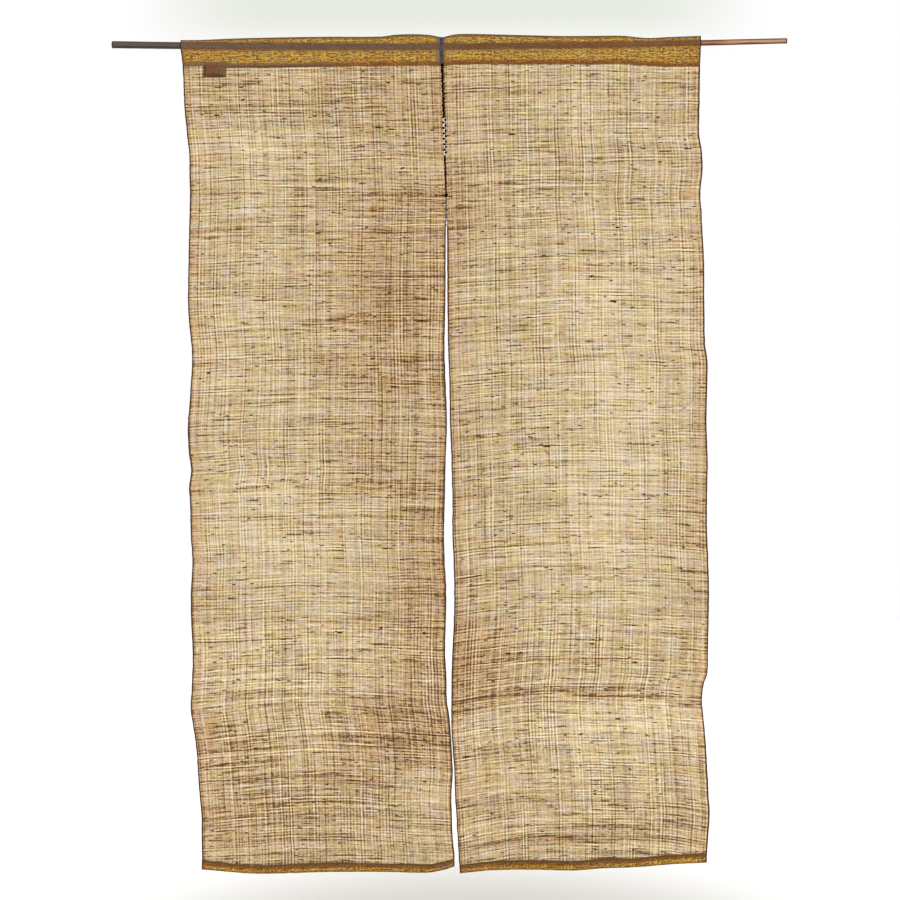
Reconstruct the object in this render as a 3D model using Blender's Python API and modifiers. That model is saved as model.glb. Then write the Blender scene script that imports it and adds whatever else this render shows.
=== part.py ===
"""Noren curtain: two handwoven cloth panels hanging side by side on one thin tapered stick.

Metres, +Z up, +X to the right seen from the front, and the front faces -Y. The origin is the middle
of the stick's axis. Each panel is one cut length of cloth: its top is folded to the back round the
stick, its foot is turned up as a hem, and both raw edges are turned under. The tables are in
millimetres, and a drop is a distance below the origin.
"""

import math
from collections import namedtuple

import bmesh
import bpy

MM = 0.001

# Cloth
SHEET = 1.0 * MM
LAYER_GAP = 0.4 * MM
LAYER_STEP = SHEET + LAYER_GAP
TURN_UNDER = 6.0 * MM
HEM_DEPTH = 12.7 * MM
FIT_GAP = 0.3 * MM

# Stick
STICK_LENGTH = 972 * MM
STICK_LEFT_RADIUS = 5.3 * MM
STICK_RIGHT_RADIUS = 3.8 * MM
STICK_BOW = 5.3 * MM
STICK_STEPS = 10
STICK_END_RUN = 8 * MM

# Label
LABEL_MIDDLE_X = -338 * MM
LABEL_WIDTH = 32 * MM
LABEL_TOP_DROP = 20.5 * MM
LABEL_FOOT_DROP = 41.5 * MM
LABEL_LEAN = 0.95 * MM

# Mesh steps
LABEL_STEPS = 4
COLUMNS = 14
FOLD_STEPS = 4
ROUND_STEPS = 5
EDGE_CROWDING = 0.5

Section = namedtuple("Section", "drop left_outer left_inner right_inner right_outer")
SECTIONS = (
    Section(0, -386.5, -11.6, -10.4, 361.5),
    Section(30, -383.5, -11.6, -9.0, 360.0),
    Section(85, -381.4, -10.0, -8.4, 358.9),
    Section(130, -377.3, -10.6, -6.2, 357.8),
    Section(155, -374.7, -9.0, -6.9, 361.4),
    Section(180, -374.6, -7.9, -6.4, 362.1),
    Section(215, -374.1, -6.6, -5.5, 358.9),
    Section(260, -375.5, -7.3, -4.5, 361.5),
    Section(310, -376.7, -8.0, -4.4, 364.0),
    Section(365, -377.8, -8.6, -4.5, 364.1),
    Section(430, -373.6, -10.3, -3.9, 364.8),
    Section(455, -373.3, -9.9, -3.2, 368.2),
    Section(480, -374.8, -9.2, -2.3, 368.0),
    Section(545, -379.1, -7.4, -1.7, 366.3),
    Section(585, -377.6, -9.2, -0.2, 367.4),
    Section(608, -374.6, -10.0, 0.2, 367.7),
    Section(634, -377.9, -10.6, 0.9, 366.9),
    Section(700, -375.7, -12.5, 0.8, 366.2),
    Section(740, -374.0, -11.8, 2.3, 367.6),
    Section(785, -376.1, -9.8, 3.0, 368.5),
    Section(830, -375.8, -10.7, 2.1, 367.7),
    Section(870, -373.9, -11.9, -0.2, 366.6),
    Section(905, -374.8, -10.3, -1.6, 365.5),
    Section(945, -377.2, -9.5, -2.1, 358.2),
    Section(990, -372.1, -4.3, -1.9, 361.6),
    Section(1045, -368.2, -1.8, 1.7, 364.7),
    Section(1107, -363.4, -3.5, 4.2, 367.7),
    Section(1150, -363.1, -1.4, 6.5, 364.5),
    Section(1190, -364.0, -0.2, 8.6, 362.2),
)
FIRST_BODY_SECTION = 2
LAST_BODY_SECTION = 27

# Where a panel's heading and hem end, at parts of its width from its left side
Across = namedtuple("Across", "part heading_top heading_foot hem_foot")
LEFT_ACROSS = (
    Across(0.00, 11.3, 26.5, 1184.5),
    Across(0.07, 11.3, 25.7, 1186.0),
    Across(0.20, 13.1, 27.7, 1188.5),
    Across(0.35, 14.2, 28.5, 1189.5),
    Across(0.55, 14.9, 27.6, 1188.7),
    Across(0.77, 14.8, 27.6, 1187.7),
    Across(0.82, 17.2, 27.5, 1188.3),
    Across(0.90, 17.9, 27.3, 1189.0),
    Across(0.96, 16.3, 27.2, 1185.5),
    Across(1.00, 13.0, 27.1, 1181.0),
)
RIGHT_ACROSS = (
    Across(0.00, 13.0, 28.0, 1191.0),
    Across(0.05, 17.3, 25.2, 1189.4),
    Across(0.12, 17.7, 25.1, 1187.4),
    Across(0.30, 15.8, 25.6, 1187.0),
    Across(0.46, 14.1, 26.2, 1187.0),
    Across(0.58, 14.0, 26.8, 1183.8),
    Across(0.70, 13.8, 26.4, 1183.2),
    Across(0.79, 10.6, 28.6, 1182.0),
    Across(0.88, 11.7, 30.6, 1180.0),
    Across(1.00, 13.2, 30.1, 1177.6),
)

# Soft folds: middle and spread as parts of the width, depth towards the front, from one drop to another
Fold = namedtuple("Fold", "middle spread depth top foot")
HANG = 1500  # a foot below every hem, for folds that run out at the bottom
LEFT_FOLDS = (
    Fold(0.00, 0.06, -7.0, 380, 530),
    Fold(0.00, 0.05, -5.0, 690, 800),
    Fold(0.00, 0.09, -7.0, 960, HANG),
    Fold(0.20, 0.10, 6.0, 90, HANG),
    Fold(0.50, 0.13, -5.5, 200, HANG),
    Fold(0.80, 0.09, 6.0, 260, HANG),
    Fold(1.00, 0.05, 5.0, 620, 900),
)
RIGHT_FOLDS = (
    Fold(0.00, 0.06, -5.0, 560, 860),
    Fold(0.25, 0.11, -5.0, 120, HANG),
    Fold(0.56, 0.12, 6.5, 200, HANG),
    Fold(0.85, 0.08, -4.0, 300, HANG),
    Fold(1.00, 0.05, 4.5, 90, 250),
    Fold(1.00, 0.06, -9.0, 890, 1010),
)
FOLD_FADE = 70

Panel = namedtuple("Panel", "name left_edge right_edge across folds")
PANELS = (
    Panel("panel_left", "left_outer", "left_inner", LEFT_ACROSS, LEFT_FOLDS),
    Panel("panel_right", "right_inner", "right_outer", RIGHT_ACROSS, RIGHT_FOLDS),
)

CLOTH_COLOUR = (0.56, 0.42, 0.24, 1.0)
STICK_COLOUR = (0.16, 0.085, 0.05, 1.0)
LABEL_COLOUR = (0.17, 0.09, 0.05, 1.0)


def clear_scene():
    """Remove what the file holds, so that a second run starts clean."""
    for obj in list(bpy.data.objects):
        bpy.data.objects.remove(obj, do_unlink=True)


def make_material(name, colour, roughness):
    """Plain Principled material."""
    material = bpy.data.materials.new(name)
    material.use_nodes = True
    shader = material.node_tree.nodes["Principled BSDF"]
    shader.inputs["Base Color"].default_value = colour
    shader.inputs["Roughness"].default_value = roughness
    shader.inputs["Metallic"].default_value = 0.0
    return material


def read_table(rows, key, column, at):
    """Smooth value of a table's column, with a cubic through the rows on both sides."""
    keys = [getattr(row, key) for row in rows]
    values = [getattr(row, column) for row in rows]
    if at <= keys[0]:
        return values[0]
    if at >= keys[-1]:
        return values[-1]
    i = max(k for k in range(len(keys) - 1) if keys[k] <= at)

    def slope(k):
        low, high = max(k - 1, 0), min(k + 1, len(keys) - 1)
        return (values[high] - values[low]) / (keys[high] - keys[low])

    span = keys[i + 1] - keys[i]
    t = (at - keys[i]) / span
    start = (1 + 2 * t) * (1 - t) ** 2 * values[i] + t * (1 - t) ** 2 * span * slope(i)
    end = t * t * (3 - 2 * t) * values[i + 1] + t * t * (t - 1) * span * slope(i + 1)
    return start + end


def fade(at, start, length):
    """0 before start, 1 after start plus length, smooth between."""
    t = min(max((at - start) / length, 0.0), 1.0)
    return t * t * (3 - 2 * t)


def stick_radius(x):
    """Radius of the tapered stick at x."""
    t = x / STICK_LENGTH + 0.5
    return STICK_LEFT_RADIUS + t * (STICK_RIGHT_RADIUS - STICK_LEFT_RADIUS)


def stick_height(x):
    """Height of the stick's axis at x: it bows down a little in its middle."""
    return STICK_BOW * (2 * x / STICK_LENGTH) ** 2


def side_x(panel, part, drop):
    """World x at a part of the panel's width, at a drop in metres."""
    left = read_table(SECTIONS, "drop", panel.left_edge, drop / MM)
    right = read_table(SECTIONS, "drop", panel.right_edge, drop / MM)
    return (left + part * (right - left)) * MM


def fold_depth(panel, part, drop):
    """World y that the soft folds add at a place on the panel; the front is negative."""
    depth = 0.0
    for fold in panel.folds:
        across = math.exp(-(((part - fold.middle) / fold.spread) ** 2) / 2)
        grown = fade(drop / MM, fold.top, FOLD_FADE)
        gone = fade(drop / MM, fold.foot - FOLD_FADE, FOLD_FADE)
        depth += fold.depth * across * grown * (1 - gone)
    return -depth * MM


def arc(middle_y, middle_z, radius, start, end, steps):
    """Points (y, z) on a round fold, angles in degrees from +Y towards +Z."""
    angles = [math.radians(start + (end - start) * k / steps) for k in range(steps + 1)]
    return [(middle_y + radius * math.cos(a), middle_z + radius * math.sin(a)) for a in angles]


def touch_angle(radius, out, away):
    """Angle from level at which a line from a point (out sideways, away up or down) meets the round."""
    reach = math.hypot(out, away)
    return math.atan2(away, out) - math.acos(radius / reach)


def hem_path(foot_z):
    """Hem from its raw edge: up inside, over, down the back and round the foot to the front."""
    half = LAYER_STEP / 2
    top_z = foot_z + HEM_DEPTH
    fold_z = top_z - SHEET / 2 - half
    round_z = foot_z + SHEET / 2 + LAYER_STEP
    path = [(0.0, top_z - TURN_UNDER)]
    path += arc(half, fold_z, half, 180, 0, FOLD_STEPS)
    path += arc(0.0, round_z, LAYER_STEP, 0, -180, FOLD_STEPS)
    return path


def casing_path(x, top_z, foot_z):
    """Heading from its front foot: round the stick's front, over the top, down the back, turned under."""
    half = LAYER_STEP / 2
    round_radius = stick_radius(x) + FIT_GAP + SHEET / 2
    axis_z = stick_height(x)
    fold_z = top_z - SHEET / 2 - half
    lower = touch_angle(round_radius, LAYER_STEP, axis_z - foot_z)
    upper = touch_angle(round_radius, half, fold_z - axis_z)
    lower, upper = math.degrees(lower), math.degrees(upper)
    path = [(-LAYER_STEP, foot_z)]
    path += arc(0.0, axis_z, round_radius, 180 + lower, 180 - upper, ROUND_STEPS)
    path += arc(0.0, fold_z, half, 180, 0, FOLD_STEPS)
    path += arc(0.0, axis_z, round_radius, upper, -lower, ROUND_STEPS)
    path += arc(half, foot_z + SHEET / 2 + half, half, 0, -180, FOLD_STEPS)
    path += [(0.0, foot_z + TURN_UNDER)]
    return path


def column_points(panel, part):
    """One lengthwise line of the panel's cloth, from the hem's raw edge to the heading's."""
    top_z = read_table(panel.across, "part", "heading_top", part) * MM
    foot_z = -read_table(panel.across, "part", "heading_foot", part) * MM
    hem_z = -read_table(panel.across, "part", "hem_foot", part) * MM
    body = SECTIONS[FIRST_BODY_SECTION : LAST_BODY_SECTION + 1]
    path = hem_path(hem_z)
    path.append((-LAYER_STEP, hem_z + HEM_DEPTH))
    path += [(-LAYER_STEP, -row.drop * MM) for row in reversed(body)]
    path += casing_path(side_x(panel, part, 0.0), top_z, foot_z)
    return [(side_x(panel, part, -z), y + fold_depth(panel, part, -z), z) for y, z in path]


def column_part(index):
    """Part of the width at a column: the columns crowd a little towards both selvedges."""
    t = index / COLUMNS
    return (1 - EDGE_CROWDING) * t + EDGE_CROWDING * (0.5 - 0.5 * math.cos(math.pi * t))


def make_sheet(name, columns, material, collection):
    """Open cloth surface through equal columns of points, thickened to the sheet's solid."""
    across, along = len(columns) - 1, len(columns[0]) - 1
    mesh = bpy.data.meshes.new(name)
    bm = bmesh.new()
    bmesh.ops.create_grid(bm, x_segments=across, y_segments=along, size=0.5)
    for vertex in bm.verts:
        i = round((vertex.co.x + 0.5) * across)
        j = round((vertex.co.y + 0.5) * along)
        vertex.co = columns[i][j]
    bm.to_mesh(mesh)
    bm.free()
    mesh.shade_smooth()
    obj = bpy.data.objects.new(name, mesh)
    obj.data.materials.append(material)
    collection.objects.link(obj)
    thicken = obj.modifiers.new("Thickness", "SOLIDIFY")
    thicken.thickness = SHEET
    thicken.offset = 0.0
    thicken.use_even_offset = True
    return obj


def make_panel(panel, material, collection):
    """One length of cloth with its casing and its hem."""
    columns = [column_points(panel, column_part(i)) for i in range(COLUMNS + 1)]
    return make_sheet(panel.name, columns, material, collection)


def make_stick(material, collection):
    """Tapered round stick, its last runs level so that both ends are cut square."""
    half = STICK_LENGTH / 2
    inner = half - STICK_END_RUN
    places = [inner * (2 * k / STICK_STEPS - 1) for k in range(STICK_STEPS + 1)]
    end_height = stick_height(inner)
    points = [(x, stick_height(x)) for x in places]
    points = [(-half, end_height), *points, (half, end_height)]
    curve = bpy.data.curves.new("rod", "CURVE")
    curve.dimensions = "3D"
    curve.bevel_depth = STICK_LEFT_RADIUS
    curve.bevel_resolution = 4
    curve.use_fill_caps = True
    spline = curve.splines.new("POLY")
    spline.points.add(len(points) - 1)
    for point, (x, z) in zip(spline.points, points):
        point.co = (x, 0.0, z, 1.0)
        point.radius = stick_radius(x) / STICK_LEFT_RADIUS
    curve.materials.append(material)
    obj = bpy.data.objects.new("rod", curve)
    collection.objects.link(obj)
    return obj


def make_label(material, collection):
    """Small bare tag sewn behind the left heading's foot, its top leaning back along the heading."""
    behind = LAYER_STEP + SHEET + FIT_GAP
    height = LABEL_FOOT_DROP - LABEL_TOP_DROP
    shares = [k / LABEL_STEPS for k in range(LABEL_STEPS + 1)]
    line = [(behind + LABEL_LEAN * (1 - t) ** 2, -LABEL_TOP_DROP - t * height) for t in shares]
    lefts = [LABEL_MIDDLE_X + (s - 0.5) * LABEL_WIDTH for s in shares]
    columns = [[(x, y, z) for y, z in line] for x in lefts]
    return make_sheet("label", columns, material, collection)


def build():
    """Make every piece of the curtain."""
    clear_scene()
    collection = bpy.data.collections.new("noren_curtain")
    bpy.context.scene.collection.children.link(collection)
    cloth = make_material("handwoven_hemp", CLOTH_COLOUR, 0.9)
    for panel in PANELS:
        make_panel(panel, cloth, collection)
    make_stick(make_material("stick_wood", STICK_COLOUR, 0.55), collection)
    make_label(make_material("label_cloth", LABEL_COLOUR, 0.85), collection)


build()
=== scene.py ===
"""Looks of the noren curtain: handwoven see-through cloth, selvedges, sewing, tag and stick.

Lengths in the tables and fields are millimetres, and a drop is a distance below the middle of the
stick's axis. Meshes are in metres, +X to the right seen from the front, -Y towards the viewer.
"""

import logging
import math
import random
from dataclasses import dataclass, field
from enum import Enum
from typing import Callable, NamedTuple, Sequence, Union

import bmesh
import bpy
from mathutils import Matrix, Vector, noise


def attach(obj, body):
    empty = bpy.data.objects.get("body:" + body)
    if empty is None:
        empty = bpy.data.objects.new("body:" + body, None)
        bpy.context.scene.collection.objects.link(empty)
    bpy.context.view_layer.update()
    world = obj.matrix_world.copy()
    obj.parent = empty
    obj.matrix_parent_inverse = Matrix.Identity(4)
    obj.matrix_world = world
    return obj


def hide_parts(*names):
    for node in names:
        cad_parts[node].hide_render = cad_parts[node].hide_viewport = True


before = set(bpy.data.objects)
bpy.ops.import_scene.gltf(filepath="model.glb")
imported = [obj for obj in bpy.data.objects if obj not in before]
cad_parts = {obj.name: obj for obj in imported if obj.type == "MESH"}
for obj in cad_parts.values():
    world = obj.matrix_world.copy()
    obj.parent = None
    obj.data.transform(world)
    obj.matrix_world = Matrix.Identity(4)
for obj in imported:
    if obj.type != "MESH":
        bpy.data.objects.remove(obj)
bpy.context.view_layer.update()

LOG = logging.getLogger("noren")

MM = 0.001
BODY = "root"
WEAVE_MAP = "weave"


class Section(NamedTuple):
    """Where the four selvedges lie at a drop."""

    drop: float
    left_outer: float
    left_inner: float
    right_inner: float
    right_outer: float


class Across(NamedTuple):
    """Where a panel's heading and hem end, at a part of its width from its left side."""

    part: float
    heading_top: float
    heading_foot: float
    hem_foot: float
    hem_depth: float


class Fold(NamedTuple):
    """A soft fold: middle and spread as parts of the width, depth towards the front."""

    middle: float
    spread: float
    depth: float
    top: float
    foot: float


class Droop(NamedTuple):
    """How far the wefts hang lower at a panel's two selvedges than in its middle."""

    drop: float
    left: float
    right: float


class Band(NamedTuple):
    """A stretch of browner wefts, from one part of the width to another."""

    drop: float
    height: float
    start: float
    end: float
    strength: float


class Tone(NamedTuple):
    """A soft lighter or browner area, its height in millimetres and its width as a part."""

    drop: float
    part: float
    height: float
    width: float
    strength: float


class HeavyWeft(NamedTuple):
    """One thick dark weft, from one part of the width to another."""

    drop: float
    start: float
    end: float
    radius: float


SECTIONS = (
    Section(0, -386.5, -11.6, -10.4, 361.5),
    Section(30, -383.5, -11.6, -9.0, 360.0),
    Section(85, -381.4, -10.0, -8.4, 358.9),
    Section(130, -377.3, -8.9, -7.1, 357.8),
    Section(155, -374.7, -8.4, -7.3, 361.4),
    Section(180, -374.6, -7.9, -6.4, 362.1),
    Section(215, -374.1, -6.6, -5.5, 358.9),
    Section(240, -374.8, -6.6, -5.4, 360.9),
    Section(260, -375.5, -7.3, -4.5, 361.5),
    Section(310, -376.7, -8.0, -4.4, 364.0),
    Section(365, -377.8, -8.6, -4.5, 364.1),
    Section(395, -376.5, -9.4, -4.2, 364.4),
    Section(430, -373.6, -10.3, -3.9, 364.8),
    Section(455, -373.3, -9.9, -3.2, 368.2),
    Section(480, -374.8, -9.2, -2.3, 368.0),
    Section(515, -376.7, -7.9, -2.0, 366.9),
    Section(545, -379.1, -7.4, -1.7, 366.3),
    Section(585, -377.6, -9.2, -0.2, 367.4),
    Section(608, -374.6, -10.0, 0.2, 367.7),
    Section(634, -377.9, -10.6, 0.9, 366.9),
    Section(650, -376.7, -11.0, 1.3, 366.5),
    Section(700, -375.7, -12.5, 0.8, 366.2),
    Section(740, -374.0, -11.8, 2.3, 367.6),
    Section(785, -376.1, -9.8, 3.0, 368.5),
    Section(830, -375.8, -10.7, 2.1, 367.7),
    Section(870, -373.9, -11.9, -0.2, 366.6),
    Section(905, -374.8, -10.3, -1.6, 365.5),
    Section(920, -375.6, -10.1, -1.8, 360.8),
    Section(945, -377.2, -9.5, -2.1, 358.2),
    Section(960, -376.5, -7.0, -2.4, 359.4),
    Section(990, -372.1, -4.3, -1.9, 361.6),
    Section(1020, -369.4, -2.8, 0.0, 363.4),
    Section(1045, -368.2, -1.8, 1.7, 364.7),
    Section(1080, -365.6, -4.1, 2.5, 366.3),
    Section(1107, -363.4, -3.5, 4.2, 367.7),
    Section(1135, -363.3, -2.8, 5.5, 365.7),
    Section(1150, -363.1, -1.4, 6.5, 364.5),
    Section(1165, -363.0, -0.1, 7.2, 363.6),
    Section(1190, -364.0, -0.2, 8.6, 362.2),
)

LEFT_ACROSS = (
    Across(0.00, 11.3, 26.5, 1184.5, 13.4),
    Across(0.07, 11.3, 25.7, 1186.0, 12.4),
    Across(0.20, 13.1, 27.7, 1188.5, 11.7),
    Across(0.35, 14.2, 28.5, 1189.5, 12.6),
    Across(0.55, 14.9, 27.6, 1188.7, 13.1),
    Across(0.77, 14.8, 27.6, 1187.7, 11.8),
    Across(0.82, 17.2, 27.5, 1188.3, 12.5),
    Across(0.90, 17.9, 27.3, 1189.0, 11.7),
    Across(0.96, 16.3, 27.2, 1185.5, 11.5),
    Across(1.00, 13.0, 27.1, 1181.0, 11.4),
)
RIGHT_ACROSS = (
    Across(0.00, 13.0, 28.0, 1191.0, 11.7),
    Across(0.05, 17.3, 25.2, 1189.4, 12.0),
    Across(0.12, 17.7, 25.1, 1187.4, 12.6),
    Across(0.30, 15.8, 25.6, 1187.0, 13.7),
    Across(0.46, 14.1, 26.2, 1187.0, 13.2),
    Across(0.58, 14.0, 26.8, 1183.8, 13.8),
    Across(0.70, 13.8, 26.4, 1183.2, 12.2),
    Across(0.79, 10.6, 28.6, 1182.0, 13.8),
    Across(0.88, 11.7, 30.6, 1180.0, 13.4),
    Across(1.00, 13.2, 30.1, 1177.6, 13.8),
)

HANG = 1500.0  # a foot below every hem, for folds that run out at the bottom
LENGTH_HALF = 486.0
LEFT_FOLDS = (
    Fold(0.00, 0.06, -7.0, 380, 530),
    Fold(0.00, 0.05, -5.0, 690, 800),
    Fold(0.00, 0.09, -7.0, 960, HANG),
    Fold(0.20, 0.10, 6.0, 90, HANG),
    Fold(0.50, 0.13, -5.5, 200, HANG),
    Fold(0.80, 0.09, 6.0, 260, HANG),
    Fold(1.00, 0.05, 5.0, 620, 900),
)
RIGHT_FOLDS = (
    Fold(0.00, 0.06, -5.0, 560, 860),
    Fold(0.25, 0.11, -5.0, 120, HANG),
    Fold(0.56, 0.12, 6.5, 200, HANG),
    Fold(0.85, 0.08, -4.0, 300, HANG),
    Fold(1.00, 0.05, 4.5, 90, 250),
    Fold(1.00, 0.06, -9.0, 890, 1010),
)

LEFT_DROOPS = (
    Droop(0, 0, 0),
    Droop(120, 2, 1),
    Droop(300, 3, 2),
    Droop(500, 5, 3),
    Droop(700, 5, 3),
    Droop(830, 6, 4),
    Droop(950, 11, 9),
    Droop(1060, 12, 10),
    Droop(1200, 6, 6),
)
RIGHT_DROOPS = (
    Droop(0, 0, 0),
    Droop(60, 3, 0),
    Droop(290, 8, 1),
    Droop(490, 10, 3),
    Droop(700, 12, 7),
    Droop(940, 14, 10),
    Droop(1050, 13, 10),
    Droop(1150, 19, 14),
    Droop(1200, 15, 8),
)

LEFT_BANDS = (
    Band(222, 18, 0.60, 1.10, 0.30),
    Band(262, 6, -0.10, 0.25, 0.50),
    Band(268, 8, 0.65, 1.10, 0.55),
    Band(292, 7, -0.10, 0.40, 0.30),
    Band(391, 7, 0.50, 1.10, 0.45),
    Band(452, 7, -0.10, 1.10, 0.35),
    Band(478, 9, 0.55, 1.10, 0.50),
    Band(566, 6, -0.10, 0.35, 0.35),
    Band(636, 20, 0.45, 1.10, 0.45),
    Band(688, 8, 0.30, 0.60, 0.35),
    Band(704, 8, 0.85, 1.10, 0.40),
    Band(835, 8, 0.15, 1.10, 0.30),
    Band(890, 16, 0.80, 1.10, 0.30),
    Band(975, 36, 0.45, 1.10, 0.50),
    Band(1000, 14, -0.10, 0.28, 0.55),
    Band(1024, 6, -0.10, 0.35, 0.60),
    Band(1050, 7, 0.05, 0.75, 0.40),
    Band(1092, 10, -0.10, 0.48, 0.35),
    Band(1134, 8, 0.80, 1.10, 0.35),
)
RIGHT_BANDS = (
    Band(65, 6, 0.30, 1.10, 0.25),
    Band(252, 7, -0.10, 0.45, 0.25),
    Band(318, 7, 0.25, 1.10, 0.25),
    Band(440, 12, 0.75, 1.10, 0.35),
    Band(640, 7, -0.10, 0.25, 0.40),
    Band(656, 18, 0.78, 1.10, 0.40),
    Band(706, 8, -0.10, 1.10, 0.70),
    Band(747, 5, -0.10, 1.10, 0.35),
    Band(769, 8, -0.10, 0.22, 0.45),
    Band(842, 6, 0.55, 1.10, 0.35),
    Band(881, 6, -0.10, 1.10, 0.50),
    Band(934, 12, -0.10, 1.10, 0.90),
    Band(1031, 6, 0.82, 1.10, 0.60),
    Band(1085, 5, -0.10, 1.10, 0.30),
    Band(1138, 7, -0.10, 1.10, 0.60),
)

LEFT_TONES = (
    Tone(60, 0.50, 45, 0.60, -0.15),
    Tone(120, 0.95, 120, 0.30, -0.10),
    Tone(146, 0.16, 45, 0.25, 0.18),
    Tone(370, 0.76, 150, 0.26, -0.29),
    Tone(445, 0.12, 50, 0.20, 0.22),
    Tone(595, 0.65, 50, 0.20, -0.15),
    Tone(700, 0.35, 110, 0.25, 0.26),
    Tone(800, 0.92, 150, 0.16, -0.30),
    Tone(1000, 0.15, 80, 0.30, -0.14),
    Tone(990, 0.88, 60, 0.25, -0.26),
    Tone(1044, 0.58, 40, 0.16, -0.18),
    Tone(1125, 0.30, 60, 0.50, -0.24),
)
RIGHT_TONES = (
    Tone(71, 0.12, 40, 0.16, -0.16),
    Tone(221, 0.10, 50, 0.12, -0.18),
    Tone(400, 0.68, 130, 0.28, 0.24),
    Tone(640, 0.62, 130, 0.24, 0.38),
    Tone(745, 0.45, 60, 0.30, 0.18),
    Tone(880, 0.10, 60, 0.18, -0.40),
    Tone(969, 0.75, 45, 0.25, 0.30),
    Tone(1044, 0.12, 50, 0.25, -0.14),
    Tone(1120, 0.50, 50, 0.90, -0.12),
)

LEFT_HEAVY = (
    HeavyWeft(84, 0.00, 0.40, 0.42),
    HeavyWeft(153, 0.00, 0.16, 0.40),
    HeavyWeft(204, 0.42, 0.66, 0.45),
    HeavyWeft(258, 0.00, 0.14, 0.40),
    HeavyWeft(333, 0.38, 0.46, 0.50),
    HeavyWeft(387, 0.48, 1.00, 0.48),
    HeavyWeft(395, 0.88, 0.96, 0.60),
    HeavyWeft(451, 0.00, 0.12, 0.50),
    HeavyWeft(510, 0.00, 0.45, 0.38),
    HeavyWeft(512, 0.55, 1.00, 0.42),
    HeavyWeft(604, 0.55, 0.95, 0.38),
    HeavyWeft(703, 0.45, 0.55, 0.45),
    HeavyWeft(827, 0.18, 0.24, 0.42),
    HeavyWeft(908, 0.00, 0.14, 0.50),
    HeavyWeft(984, 0.84, 1.00, 0.45),
    HeavyWeft(1024, 0.00, 0.20, 0.50),
    HeavyWeft(1050, 0.15, 0.70, 0.42),
    HeavyWeft(1064, 0.66, 0.76, 0.55),
    HeavyWeft(1148, 0.82, 0.98, 0.40),
)
RIGHT_HEAVY = (
    HeavyWeft(59, 0.00, 0.32, 0.50),
    HeavyWeft(136, 0.00, 0.16, 0.38),
    HeavyWeft(161, 0.44, 0.82, 0.42),
    HeavyWeft(198, 0.17, 0.34, 0.55),
    HeavyWeft(204, 0.44, 0.66, 0.42),
    HeavyWeft(243, 0.18, 0.40, 0.42),
    HeavyWeft(398, 0.08, 0.28, 0.38),
    HeavyWeft(520, 0.80, 0.88, 0.55),
    HeavyWeft(597, 0.36, 0.72, 0.45),
    HeavyWeft(667, 0.80, 1.00, 0.55),
    HeavyWeft(747, 0.08, 0.45, 0.42),
    HeavyWeft(842, 0.45, 1.00, 0.38),
    HeavyWeft(881, 0.00, 0.30, 0.42),
    HeavyWeft(934, 0.68, 0.88, 0.60),
    HeavyWeft(1031, 0.88, 0.98, 0.60),
    HeavyWeft(1085, 0.05, 0.40, 0.42),
    HeavyWeft(1138, 0.00, 0.24, 0.75),
    HeavyWeft(1138, 0.24, 0.95, 0.45),
)


def smoothstep(at: float, start: float, length: float) -> float:
    """0 before start, 1 after start plus length, smooth between.

    Args:
        at: Place to read.
        start: Where the rise begins.
        length: How long the rise is.

    Returns:
        The share risen, from 0 to 1.
    """
    t = min(max((at - start) / length, 0.0), 1.0)
    return t * t * (3 - 2 * t)


def wander(a: float, b: float, seed: float) -> float:
    """Smooth noise from about -1 to 1 at a place on a plane."""
    return noise.noise(Vector((a, b, seed)))


class SmoothTable:
    """A short table read between its rows by a cubic through the rows on both sides."""

    def __init__(self, rows: Sequence[NamedTuple], key: str) -> None:
        """Keep the table's columns.

        Args:
            rows: Rows in rising order of the key.
            key: Name of the column that the others are read at.
        """
        self.keys = [getattr(row, key) for row in rows]
        self.columns = {name: [getattr(row, name) for row in rows] for name in rows[0]._fields}

    def read(self, column: str, at: float) -> float:
        """Smooth value of a column.

        Args:
            column: The column's name.
            at: Value of the key column.

        Returns:
            The column's value there, level past both ends.
        """
        keys, values = self.keys, self.columns[column]
        if at <= keys[0]:
            return values[0]
        if at >= keys[-1]:
            return values[-1]
        i = max(k for k in range(len(keys) - 1) if keys[k] <= at)
        slopes = []
        for k in (i, i + 1):
            low, high = max(k - 1, 0), min(k + 1, len(keys) - 1)
            slopes.append((values[high] - values[low]) / (keys[high] - keys[low]))
        span = keys[i + 1] - keys[i]
        t = (at - keys[i]) / span
        start = (1 + 2 * t) * (1 - t) ** 2 * values[i] + t * (1 - t) ** 2 * span * slopes[0]
        end = t * t * (3 - 2 * t) * values[i + 1] + t * t * (t - 1) * span * slopes[1]
        return start + end


OUTLINE = SmoothTable(SECTIONS, "drop")


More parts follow.
